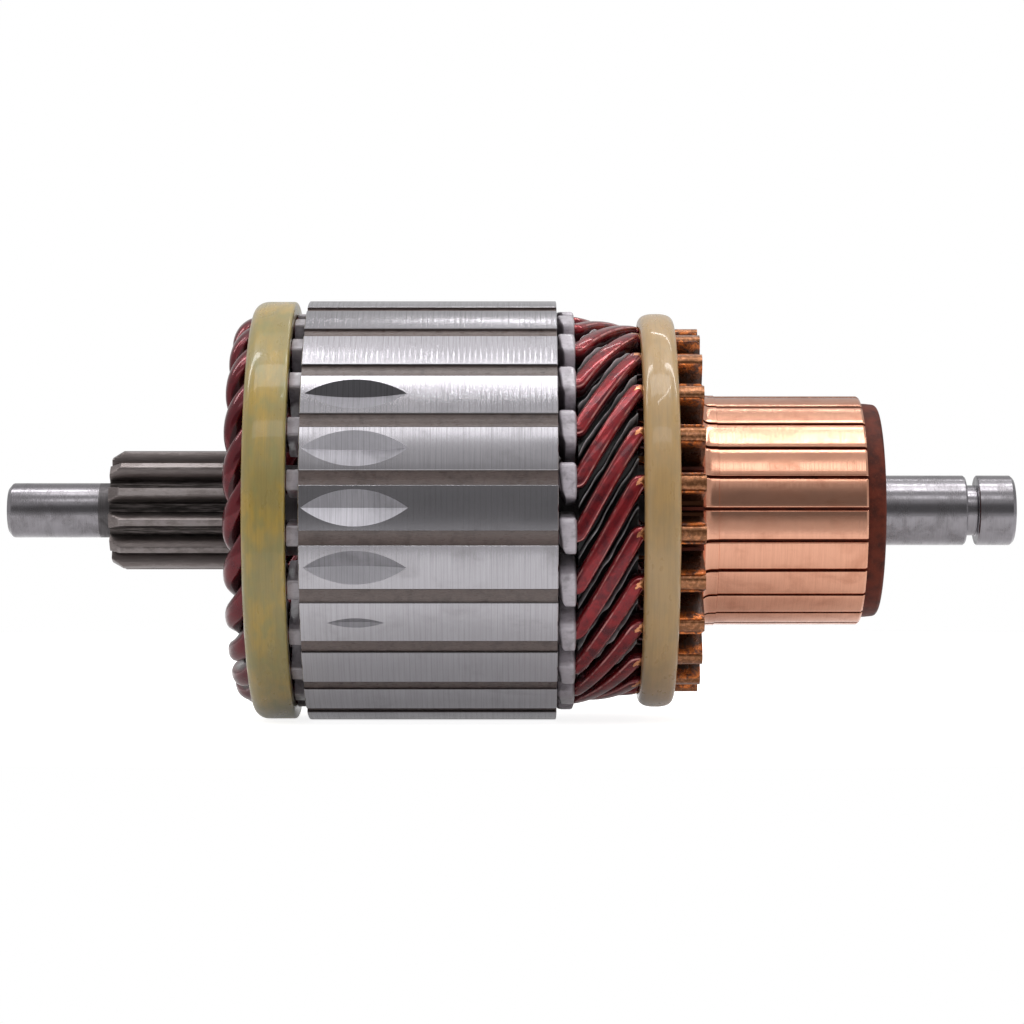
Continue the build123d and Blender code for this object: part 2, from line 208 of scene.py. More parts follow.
@dataclass
class Surface:
    """Grids and flat faces gathered for one piece, in millimetres."""

    points: list[np.ndarray] = field(default_factory=list)
    quads: list[np.ndarray] = field(default_factory=list)
    quad_uvs: list[np.ndarray] = field(default_factory=list)
    quad_slots: list[np.ndarray] = field(default_factory=list)
    flats: list[list[int]] = field(default_factory=list)
    flat_uvs: list[np.ndarray] = field(default_factory=list)
    flat_slots: list[int] = field(default_factory=list)
    tones: list[np.ndarray] = field(default_factory=list)
    count: int = 0

    def grid(self, points: np.ndarray, wrap: tuple[bool, bool] = (False, False), turn: Turn = Turn.PLAIN,
             slot: int = 0, uv: np.ndarray | None = None, tone: np.ndarray | None = None) -> None:
        """Adds a grid of points as quads: each quad joins a point to its next along both axes.

        Args:
            points: Array of rows by columns by three.
            wrap: Whether the last row joins the first, and the last column the first.
            turn: Which way the faces are wound.
            slot: Index of the piece's material.
            uv: Pattern coordinates, with one more row or column where the grid wraps.
            tone: A value for each point that the finish reads.
        """
        rows, columns = points.shape[:2]
        i, j = np.mgrid[:rows - (not wrap[0]), :columns - (not wrap[1])]
        corners = [(i, j), (i + 1, j), (i + 1, j + 1), (i, j + 1)]
        if turn is Turn.REVERSED:
            corners = corners[::-1]
        index = np.stack([(a % rows) * columns + b % columns for a, b in corners], axis=-1).reshape(-1, 4)
        if uv is None:
            across = np.zeros((rows + 1, columns + 1, 2))
        else:
            across = np.pad(uv, ((0, 1), (0, 1), (0, 0)), mode="edge")
        self.quad_uvs.append(np.stack([across[a, b] for a, b in corners], axis=-2).reshape(-1, 4, 2))
        self.quads.append(index + self.count)
        self.quad_slots.append(np.full(len(index), slot))
        self.points.append(points.reshape(-1, 3))
        self.tones.append(np.broadcast_to(0.0 if tone is None else tone, (rows, columns)).ravel())
        self.count += rows * columns

    def flat(self, points: np.ndarray, turn: Turn = Turn.PLAIN, slot: int = 0, tone: float = 0.0,
             uv: Pair = (0.0, 0.0)) -> None:
        """Adds one flat face round the given outline, with one pattern place and one tone all over it.

        Args:
            points: The outline, in order.
            turn: Which way the face is wound.
            slot: Index of the piece's material.
            tone: A value that the finish reads.
            uv: Pattern coordinates.
        """
        order = list(range(self.count, self.count + len(points)))
        self.flats.append(order if turn is Turn.PLAIN else order[::-1])
        self.flat_uvs.append(np.tile(uv, (len(points), 1)))
        self.flat_slots.append(slot)
        self.points.append(points)
        self.tones.append(np.full(len(points), tone))
        self.count += len(points)

    def turned(self, profile: np.ndarray, steps: int, slot: int = 0, sway: float = 0.0, seed: int = 0) -> None:
        """Adds a profile of (x, radius) carried round the shaft: each point becomes a circle.

        Args:
            profile: Points of (x, radius), in the order that keeps the material on their right.
            steps: Places round the shaft.
            slot: Index of the piece's material.
            sway: How far the radius wanders round the shaft.
            seed: Which wander.
        """
        angle = np.linspace(0, 360, steps, endpoint=False)
        uneven = sway * wander(angle, seed) * (profile[:, 1:] > 0)
        sheet = around(profile[:, :1], profile[:, 1:] + uneven, angle)
        self.grid(sheet, wrap=(False, True), slot=slot, turn=Turn.REVERSED)

    def make(self, name: str, finishes: list[Material], crease: float = 35.0) -> bpy.types.Object:
        """Makes the piece's mesh object, with its seams merged.

        Args:
            name: The piece's name.
            finishes: Its materials, in the order of their indices.
            crease: Angle between faces above which an edge stays sharp, in degrees.

        Returns:
            The new object, linked to the scene.
        """
        mesh = bpy.data.meshes.new(name)
        vertices = np.concatenate(self.points) * MM
        quads = np.concatenate(self.quads) if self.quads else np.zeros((0, 4), int)
        faces = quads.tolist() + self.flats
        mesh.from_pydata(vertices.tolist(), [], faces)
        layer = mesh.uv_layers.new(name="pattern")
        uvs = [uv.reshape(-1, 2) for uv in self.quad_uvs + self.flat_uvs]
        layer.data.foreach_set("uv", np.concatenate(uvs).ravel())
        tone = mesh.attributes.new("tone", "FLOAT", "POINT")
        tone.data.foreach_set("value", np.concatenate(self.tones).astype(np.float32))
        slots = np.concatenate(self.quad_slots + [np.array(self.flat_slots, int)])
        mesh.polygons.foreach_set("material_index", slots.astype(np.int32))
        mesh.polygons.foreach_set("use_smooth", np.ones(len(faces), bool))
        for finish in finishes:
            mesh.materials.append(finish)
        merge_seams(mesh)
        mesh.set_sharp_from_angle(angle=math.radians(crease))
        piece = bpy.data.objects.new(name, mesh)
        bpy.context.scene.collection.objects.link(piece)
        return piece


def merge_seams(mesh: bpy.types.Mesh) -> None:
    """Merges points that meet at seams and poles, and drops faces that have no area.

    Args:
        mesh: The mesh, changed in place.
    """
    work = bmesh.new()
    work.from_mesh(mesh)
    bmesh.ops.remove_doubles(work, verts=work.verts, dist=MERGE_REACH)
    bmesh.ops.dissolve_degenerate(work, edges=work.edges, dist=THIN_EDGE)
    work.to_mesh(mesh)
    work.free()


def place(piece: bpy.types.Object, slot: str, *nodes: str) -> None:
    """Hangs a piece on the armature's body and hides the CAD nodes it stands for.

    Args:
        piece: The piece.
        slot: Its material slot in the library; not used.
        nodes: Names of the CAD nodes.
    """
    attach(piece, "root")
    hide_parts(*nodes)
    log.info("%s: %d faces", piece.name, len(piece.data.polygons))


class Graph:
    """A node tree, put together step by step."""

    def __init__(self, tree: bpy.types.NodeTree) -> None:
        """Takes the tree that nodes are added to."""
        self.tree = tree

    def node(self, kind: str, inputs: dict | None = None, **settings: object) -> bpy.types.Node:
        """Adds a node with its settings, and fills its sockets with values or links.

        Args:
            kind: The node's type.
            inputs: Values or sockets, by the input's name or index.
            settings: The node's own properties.

        Returns:
            The new node.
        """
        made = self.tree.nodes.new(kind)
        for key, value in settings.items():
            setattr(made, key, value)
        for key, value in (inputs or {}).items():
            self.feed(made.inputs[key], value)
        return made

    def feed(self, socket: Socket, value: object) -> None:
        """Links a socket to another, or sets its own value.

        Args:
            socket: The input.
            value: A socket to link, or a value; three numbers also set a colour.
        """
        if isinstance(value, Socket):
            self.tree.links.new(value, socket)
        elif isinstance(value, tuple) and len(value) == 3 and socket.type == "RGBA":
            socket.default_value = (*value, 1.0)
        else:
            socket.default_value = value

    def span(self, value: Socket, low: float, high: float, to_low: float = 0.0, to_high: float = 1.0) -> Socket:
        """A value's range carried over to another range, and held at its ends.

        Args:
            value: What is carried over.
            low: Start of its range.
            high: End of its range.
            to_low: Start of the new range.
            to_high: End of the new range.

        Returns:
            The new value.
        """
        made = self.node("ShaderNodeMapRange", {
            "Value": value, "From Min": low, "From Max": high, "To Min": to_low, "To Max": to_high,
        })
        made.interpolation_type = "SMOOTHSTEP"
        return made.outputs["Result"]

    def sum(self, operation: str, first: object, second: object) -> Socket:
        """One step of arithmetic."""
        return self.node("ShaderNodeMath", {0: first, 1: second}, operation=operation).outputs[0]

    def seen(self, path: bpy.types.Node, gloss: object) -> Socket:
        """One for rays from the camera or through something clear, and the given share for reflections.

        Args:
            path: The light path node.
            gloss: The share for reflections.

        Returns:
            The strength for each ray.
        """
        glossy = self.sum("MULTIPLY", path.outputs["Is Glossy Ray"], gloss)
        direct = self.sum("MAXIMUM", path.outputs["Is Camera Ray"], glossy)
        return self.sum("MAXIMUM", direct, path.outputs["Is Transmission Ray"])


class Recipe(Graph):
    """A material's nodes."""

    def __init__(self, name: str) -> None:
        """Starts a material with its main shader.

        Args:
            name: The material's name.
        """
        self.material = bpy.data.materials.new(name)
        self.material.use_nodes = True
        super().__init__(self.material.node_tree)
        self.shader = self.tree.nodes["Principled BSDF"]

    def place(self, stretch: Triple = (1, 1, 1)) -> Socket:
        """The point's own place in millimetres, times a stretch along each axis.

        Args:
            stretch: The factor along each axis.

        Returns:
            The place.
        """
        coordinates = self.node("ShaderNodeTexCoord").outputs["Object"]
        scale = tuple(1000.0 * s for s in stretch)
        return self.node("ShaderNodeMapping", {"Vector": coordinates, "Scale": scale}).outputs["Vector"]

    def pattern(self) -> bpy.types.Node:
        """The piece's own pattern coordinates, split into two values."""
        flat = self.node("ShaderNodeUVMap", uv_map="pattern").outputs["UV"]
        return self.node("ShaderNodeSeparateXYZ", {"Vector": flat})

    def tone(self) -> Socket:
        """The value that the mesh carries for its finish, in most pieces a painted shade."""
        return self.node("ShaderNodeAttribute", attribute_name="tone").outputs["Fac"]

    def noise(self, where: Socket, scale: float, detail: float = 4.0, rough: float = 0.5,
              warp: float = 0.0) -> Socket:
        """Cloudy noise with features of about one over the scale, in millimetres.

        Args:
            where: The place.
            scale: One over the size of its features.
            detail: Number of finer layers.
            rough: Strength of each finer layer.
            warp: How far it is distorted.

        Returns:
            Values from nought to one.
        """
        made = self.node("ShaderNodeTexNoise", {
            "Vector": where, "Scale": scale, "Detail": detail, "Roughness": rough, "Distortion": warp,
        })
        return made.outputs["Fac"]

    def mix(self, share: object, first: object, second: object, how: str = "MIX") -> Socket:
        """One colour mixed into another by a share."""
        return self.node("ShaderNodeMixRGB", {"Fac": share, "Color1": first, "Color2": second},
                         blend_type=how).outputs["Color"]

    def over(self, base: Socket, colour: object, mask: Socket, low: float, high: float, share: float) -> Socket:
        """A colour laid over another where the mask is high."""
        return self.mix(self.span(mask, low, high, 0.0, share), base, colour)

    def bump(self, height: Socket, depth: float, strength: float = 1.0,
             under: Socket | None = None) -> Socket:
        """A relief of the given depth in millimetres, over another relief where one is given.

        Args:
            height: The relief.
            depth: Its depth in millimetres.
            strength: Its share.
            under: Another relief that lies below it.

        Returns:
            The bent normal.
        """
        inputs = {"Height": height, "Distance": depth * MM, "Strength": strength}
        if under is not None:
            inputs["Normal"] = under
        return self.node("ShaderNodeBump", inputs).outputs["Normal"]

    def dress(self, **values: object) -> Material:
        """Sets the main shader's sockets, named with underscores for spaces, and gives the material.

        Args:
            values: Values or sockets.

        Returns:
            The material.
        """
        for key, value in values.items():
            self.feed(self.shader.inputs[key.replace("_", " ").title().replace("Ior", "IOR")], value)
        return self.material


@dataclass(frozen=True)
class TurnedSteel:
    """Steel turned or ground round the shaft: fine rings, cloudy stains and a few dark specks."""

    name: str
    colour: Triple
    stain: Triple
    roughness: float
    ring_depth: float
    stain_share: float = 0.5

    def material(self) -> Material:
        """Rings are noise drawn out round the shaft, and stains are noise of a few millimetres.

        Returns:
            The material.
        """
        r = Recipe(self.name)
        rings = r.noise(r.place((1.0, 0.03, 0.03)), 7.0, 6.0, 0.65)
        cloud = r.noise(r.place((1.0, 1.0, 1.0)), 0.35, 5.0, 0.6, 0.6)
        specks = r.noise(r.place(), 2.6, 3.0, 0.6)
        dirt = r.sum("MULTIPLY", r.span(cloud, 0.42, 0.72), self.stain_share)
        base = r.mix(dirt, self.colour, self.stain)
        base = r.over(base, self.stain, specks, 0.66, 0.74, 0.45)
        base = r.over(base, self.stain, rings, 0.3, 0.7, 0.22)
        rough = r.span(r.sum("ADD", rings, cloud), 0.7, 1.3, self.roughness * 0.75, self.roughness * 1.35)
        return r.dress(base_color=base, metallic=1.0, roughness=rough,
                       normal=r.bump(rings, self.ring_depth))


@dataclass(frozen=True)
class LaminationSteel:
    """The turned outside of the stack of sheets: one line for each sheet and fine tool marks."""

    name: str = "core_laminations_turned"
    colour: Triple = (0.46, 0.445, 0.475)
    stain: Triple = (0.19, 0.175, 0.18)
    sheet: float = 0.75
    smooth: float = 0.15
    dull: float = 0.26

    def material(self) -> Material:
        """Sheet lines are a wave along the shaft, tool marks are noise drawn out round it, and the mesh's value
        mixes in a painted shade.

        Returns:
            The material.
        """
        r = Recipe(self.name)
        marks = r.noise(r.place((1.0, 0.02, 0.02)), 5.0, 8.0, 0.7)
        fine = r.noise(r.place((1.0, 0.05, 0.05)), 18.0, 3.0, 0.6)
        cloud = r.noise(r.place((0.6, 1.0, 1.0)), 0.22, 5.0, 0.6, 0.4)
        waves = r.node("ShaderNodeTexWave", {
            "Vector": r.place((1.0, 0.0, 0.0)), "Scale": 0.314 / self.sheet, "Distortion": 0.6, "Detail": 2.0,
        }, bands_direction="X").outputs["Fac"]
        lines = r.span(waves, 0.90, 1.0)
        base = r.mix(r.span(cloud, 0.5, 0.8, 0.0, 0.35), self.colour, self.stain)
        base = r.over(base, self.stain, marks, 0.35, 0.75, 0.28)
        base = r.mix(r.sum("MULTIPLY", lines, 0.22), base, self.stain)
        # Painted shade: the mesh's value darkens the burrs, the slots' lips and walls, and the core's ends.
        base = r.mix(r.tone(), base, (0.10, 0.085, 0.075))
        rough = r.span(r.sum("ADD", marks, cloud), 0.75, 1.3, self.smooth, self.dull)
        relief = r.bump(marks, 0.012)
        relief = r.bump(fine, 0.004, 1.0, relief)
        relief = r.bump(r.sum("SUBTRACT", 1.0, lines), 0.010, 0.8, relief)
        return r.dress(base_color=base, metallic=1.0, roughness=rough, normal=relief)


@dataclass(frozen=True)
class PinionSteel:
    """Dark unground steel of the cut teeth, with painted shade in the valleys and lighter along the tips."""

    name: str = "pinion_dark_steel"
    root_radius: float = 6.05
    tip_radius: float = 8.6

    def material(self) -> Material:
        """The height over the axis mixes a painted shade in the valleys, flank and tip colours, broken up by
        noise.

        Returns:
            The material.
        """
        r = Recipe(self.name)
        split = r.node("ShaderNodeSeparateXYZ", {"Vector": r.place()})
        square = r.sum("ADD", r.sum("MULTIPLY", split.outputs["Y"], split.outputs["Y"]),
                       r.sum("MULTIPLY", split.outputs["Z"], split.outputs["Z"]))
        height = r.sum("SQRT", square, 0.0)
        cloud = r.noise(r.place((0.5, 1.0, 1.0)), 0.6, 6.0, 0.65)
        streak = r.noise(r.place((0.25, 3.0, 3.0)), 1.4, 4.0, 0.6)
        rise = r.sum("ADD", height, r.span(cloud, 0.2, 0.8, -0.35, 0.35))
        # Painted shade: near black in the valleys, lighter up the flanks, by the height over the axis.
        base = r.mix(r.span(rise, self.root_radius - 0.1, self.root_radius + 1.2), (0.035, 0.03, 0.028),
                     (0.17, 0.145, 0.14))
        base = r.over(base, (0.25, 0.215, 0.21), streak, 0.4, 0.7, 0.5)
        # Lighter towards the tips.
        tip_lightening = r.span(rise, self.tip_radius - 0.25, self.tip_radius + 0.15, 0.0, 0.6)
        base = r.mix(tip_lightening, base, (0.38, 0.34, 0.335))
        rough = r.span(cloud, 0.3, 0.7, 0.28, 0.46)
        return r.dress(base_color=base, metallic=0.9, roughness=rough, normal=r.bump(streak, 0.02, 0.7))


@dataclass(frozen=True)
class WireEnamel:
    """Dark red enamel over copper, stripped to a chevron at each end of the wire, with painted highlights along
    its outer corners and painted shade on its sides.
    """

    name: str = "wire_enamel"
    enamel: Triple = (0.27, 0.012, 0.017)
    deep: Triple = (0.095, 0.006, 0.012)
    # Colour and place of the painted highlight lines along the wire's outer corners.
    highlight_colour: Triple = (0.90, 0.40, 0.37)
    highlight_place: float = 0.92
    # Where the painted shade on the wire's sides begins, measured round from the outer face's middle.
    side_place: float = 1.45
    copper: Triple = (0.72, 0.30, 0.14)
    varnish: Triple = (0.22, 0.085, 0.030)

    def material(self) -> Material:
        """The pattern's first value is the distance past the stripped edge, the second runs across the wire.

        Returns:
            The material.
        """
        r = Recipe(self.name)
        along = r.pattern()
        cloud = r.noise(r.place(), 0.5, 5.0, 0.6)
        fine = r.noise(r.place(), 2.2, 4.0, 0.6)
        chevron = r.sum("MULTIPLY", r.sum("ABSOLUTE", along.outputs["Y"], 0.0), 0.95)
        edge = r.sum("SUBTRACT", along.outputs["X"], chevron)
        edge = r.sum("ADD", edge, r.span(fine, 0.3, 0.7, -0.10, 0.10))
        bare = r.span(edge, -0.03, 0.03)
        dull = r.span(edge, 0.30, 0.48)
        red = r.mix(r.span(cloud, 0.35, 0.68), self.enamel, self.deep)
        red = r.over(red, (0.24, 0.04, 0.04), fine, 0.55, 0.78, 0.35)
        # Painted highlight: a light pink line along both outer corners, towards the commutator end only, broken
        # by noise.
        beside = r.sum("SUBTRACT", r.sum("ABSOLUTE", along.outputs["Y"], 0.0), self.highlight_place)
        line = r.span(r.sum("ABSOLUTE", beside, 0.0), 0.03, 0.20, 0.6, 0.0)
        here = r.node("ShaderNodeSeparateXYZ", {"Vector": r.place()}).outputs["X"]
        front = r.span(here, -25.0, 0.0)
        line = r.sum("MULTIPLY", line, front)
        red = r.mix(r.sum("MULTIPLY", r.sum("SUBTRACT", 1.0, front), 0.75), red, self.deep)
        red = r.mix(r.sum("MULTIPLY", line, r.span(cloud, 0.38, 0.56, 0.15, 1.0)), red, self.highlight_colour)
        across = r.sum("ABSOLUTE", along.outputs["Y"], 0.0)
        # Painted shade: the wire's sides and inner face, which face the next wires, are darkened nearly to
        # black.
        side = r.span(across, self.side_place, self.side_place + 0.6, 0.0, 0.85)
        red = r.mix(side, red, (0.030, 0.005, 0.007))
        metal = r.mix(r.sum("MULTIPLY", dull, r.span(fine, 0.25, 0.6, 0.35, 1.0)), self.copper, self.varnish)
        base = r.mix(bare, red, metal)
        rough = r.sum("ADD", r.span(cloud, 0.3, 0.7, 0.16, 0.28), r.sum("MULTIPLY", bare, 0.10))
        relief = r.bump(r.noise(r.place(), 1.1, 3.0, 0.5), 0.05, 0.8)
        relief = r.bump(r.sum("SUBTRACT", 1.0, bare), 0.05, 1.0, relief)
        metal = r.span(bare, 0.0, 1.0, 0.55, 0.9)
        return r.dress(base_color=base, metallic=metal, roughness=rough, normal=relief, coat_weight=0.5,
                       coat_roughness=0.035, specular_ior_level=0.25)


@dataclass(frozen=True)
class VarnishedPaper:
    """Pressed paper soaked in clear varnish: fibres, soft creases and a satin surface."""

    name: str
    colour: Triple
    shade: Triple
    roughness: float = 0.40
    fibre_depth: float = 0.03
    coat: float = 0.35

    def material(self) -> Material:
        """The mesh's own value mixes in the shade colour as a painted shade, and cloudy noise mixes it in for
        soaked patches.

        Returns:
            The material.
        """
        r = Recipe(self.name)
        cloud = r.noise(r.place(), 0.7, 5.0, 0.6, 0.3)
        fibres = r.noise(r.place((0.4, 2.0, 2.0)), 2.0, 5.0, 0.65)
        base = r.mix(r.span(cloud, 0.42, 0.75, 0.0, 0.55), self.colour, self.shade)
        base = r.over(base, self.shade, fibres, 0.5, 0.8, 0.30)
        # Painted shade: the mesh's value darkens the cuffs' ends, the bores and the sleeve's gaps.
        base = r.mix(r.tone(), base, self.shade)
        rough = r.span(fibres, 0.3, 0.7, self.roughness * 0.8, self.roughness * 1.3)
        return r.dress(base_color=base, roughness=rough, normal=r.bump(fibres, self.fibre_depth),
                       coat_weight=self.coat, coat_roughness=0.13)


@dataclass(frozen=True)
class GlassBanding:
    """Glass threads wound round the winding and set in resin: fine threads, amber clouds, a glossy skin."""

    name: str
    colour: Triple
    warm: Triple
    cool: Triple
    cloud_share: float = 0.6

    def material(self) -> Material:
        """Threads are noise drawn out round the shaft, under a coat that the lamps reflect in.

        Returns:
            The material.
        """
        r = Recipe(self.name)
        threads = r.noise(r.place((1.0, 0.035, 0.035)), 4.2, 6.0, 0.6)
        cloud = r.noise(r.place((0.9, 0.35, 0.35)), 0.30, 4.0, 0.55, 0.5)
        patch = r.noise(r.place((1.3, 0.6, 0.6)), 0.5, 3.0, 0.5)
        base = r.mix(r.span(cloud, 0.40, 0.66, 0.0, self.cloud_share), self.colour, self.warm)
        base = r.mix(r.span(patch, 0.45, 0.72, 0.0, self.cloud_share), base, self.cool)
        base = r.over(base, tuple(0.55 * c for c in self.colour), threads, 0.35, 0.75, 0.28)
        relief = r.bump(r.noise(r.place((1.0, 0.3, 0.3)), 0.9, 3.0, 0.5), 0.06, 0.7)
        relief = r.bump(threads, 0.012, 0.8, relief)
        rough = r.span(patch, 0.3, 0.7, 0.26, 0.38)
        return r.dress(base_color=base, roughness=rough, normal=relief, subsurface_weight=0.25,
                       subsurface_radius=(1.0, 0.8, 0.4), subsurface_scale=0.0012, coat_weight=0.55,
                       coat_roughness=0.05)


@dataclass(frozen=True)
class TrackCopper:
    """Turned copper of the track: bright rings, a faint brown bloom and painted shade down the bar's sides."""

    name: str = "commutator_track_copper"
    colour: Triple = (0.76, 0.390, 0.265)
    bloom: Triple = (0.46, 0.180, 0.105)

    def material(self) -> Material:
        """Rings are noise drawn out round the shaft, and the mesh's value paints shade down the bar's sides.

        Returns:
            The material.
        """
        r = Recipe(self.name)
        rings = r.noise(r.place((1.0, 0.03, 0.03)), 6.0, 6.0, 0.65)
        cloud = r.noise(r.place((0.7, 1.0, 1.0)), 0.30, 5.0, 0.6, 0.5)
        base = r.mix(r.span(cloud, 0.45, 0.75, 0.0, 0.45), self.colour, self.bloom)
        base = r.over(base, self.bloom, rings, 0.35, 0.75, 0.25)
        # Painted shade: the mesh's value darkens the bar's sides towards the gaps.
        base = r.mix(r.tone(), base, (0.12, 0.045, 0.022))
        rough = r.span(r.sum("ADD", rings, cloud), 0.7, 1.3, 0.13, 0.25)
        return r.dress(base_color=base, metallic=1.0, roughness=rough, normal=r.bump(rings, 0.014))


@dataclass(frozen=True)
class RiserCopper:
    """Copper of the risers under patches of baked brown varnish."""

    name: str = "riser_varnished_copper"
    copper: Triple = (0.80, 0.225, 0.050)
    varnish: Triple = (0.105, 0.028, 0.009)

    def material(self) -> Material:
        """Varnish lies where a broad and a fine noise add up, and it is less metallic than the copper; the
        mesh's value paints shade lower down.

        Returns:
            The material.
        """
        r = Recipe(self.name)
        broad = r.noise(r.place(), 0.75, 5.0, 0.65, 0.4)
        fine = r.noise(r.place(), 3.0, 4.0, 0.6)
        film = r.span(r.sum("ADD", broad, r.sum("MULTIPLY", fine, 0.35)), 0.58, 0.80)
        base = r.mix(film, self.copper, self.varnish)
        base = r.over(base, (0.86, 0.40, 0.17), fine, 0.62, 0.8, 0.6)
        # Painted shade: the mesh's value darkens the riser lower down, away from its top.
        base = r.mix(r.tone(), base, (0.03, 0.015, 0.010))
        rough = r.sum("ADD", r.span(fine, 0.3, 0.7, 0.24, 0.40), r.sum("MULTIPLY", film, 0.05))
        metal = r.span(film, 0.0, 1.0, 0.75, 0.25)
        return r.dress(base_color=base, metallic=metal, roughness=rough, normal=r.bump(broad, 0.22, 0.9),
                       coat_weight=0.25, coat_roughness=0.10)


@dataclass(frozen=True)
class MouldedResin:
    """Red-brown moulding resin: fine filler grain and a dull, slightly mottled skin."""

    name: str = "moulded_resin"
    colour: Triple = (0.130, 0.024, 0.012)
    dark: Triple = (0.050, 0.012, 0.008)

    def material(self) -> Material:
        """Two noises mix the colours, and the finer one also lifts the grain.

        Returns:
            The material.
        """
        r = Recipe(self.name)
        cloud = r.noise(r.place(), 0.5, 5.0, 0.6)
        grain = r.noise(r.place(), 6.0, 3.0, 0.6)
        base = r.mix(r.span(cloud, 0.35, 0.7), self.colour, self.dark)
        base = r.over(base, (0.26, 0.09, 0.05), grain, 0.55, 0.75, 0.4)
        return r.dress(base_color=base, roughness=r.span(grain, 0.3, 0.7, 0.45, 0.62),
                       specular_ior_level=0.15, normal=r.bump(grain, 0.03, 0.8))


@dataclass(frozen=True)
class Finishes:
    """Every finish of the armature, made once."""

    ground: Material
    bore_steel: Material
    laminations: Material
    milled: list[Material]
    pinion: Material
    wire: Material
    cuff: Material
    filler: Material
    sleeve: Material
    drive_band: Material
    commutator_band: Material
    track: Material
    riser: Material
    resin: Material

    @classmethod
    def mix(cls) -> "Finishes":
        """Makes the materials.

        Returns:
            All of them.
        """
        # Painted light and shade: three copies of the milled steel at three brightness levels, one for each
        # wall's light.
        milled = [
            LaminationSteel(f"core_laminations_milled_{way.name.lower()}", (level, 0.97 * level, 1.05 * level),
                            (0.3 * level,) * 3, smooth=0.40, dull=0.56).material()
            for way, level in ((WallLight.DULL, 0.11), (WallLight.EVEN, 0.28), (WallLight.LIT, 0.62))
        ]
        return cls(
            ground=TurnedSteel("shaft_ground_steel", (0.30, 0.285, 0.305), (0.12, 0.11, 0.115),
                               0.22, 0.010).material(),
            bore_steel=TurnedSteel("shaft_plain_steel", (0.15, 0.14, 0.145), (0.055, 0.05, 0.05),
                                   0.42, 0.02).material(),
            laminations=LaminationSteel().material(),
            milled=milled,
            pinion=PinionSteel().material(),
            wire=WireEnamel().material(),
            cuff=VarnishedPaper("slot_cuff_paper", (0.55, 0.50, 0.55), (0.11, 0.09, 0.10),
                                0.34, 0.05, 0.9).material(),
            filler=VarnishedPaper("slot_filler", (0.165, 0.122, 0.112), (0.052, 0.036, 0.032),
                                  0.3, 0.05).material(),
            sleeve=VarnishedPaper("layer_sleeve_paper", (0.74, 0.72, 0.74), (0.006, 0.005, 0.006),
                                  0.35).material(),
            drive_band=GlassBanding("drive_end_banding", (0.315, 0.242, 0.074), (0.49, 0.31, 0.042),
                                    (0.26, 0.240, 0.082), 0.7).material(),
            commutator_band=GlassBanding("commutator_end_banding", (0.46, 0.295, 0.125), (0.50, 0.31, 0.11),
                                         (0.37, 0.26, 0.125), 0.5).material(),
            track=TrackCopper().material(),
            riser=RiserCopper().material(),
            resin=MouldedResin().material(),
        )


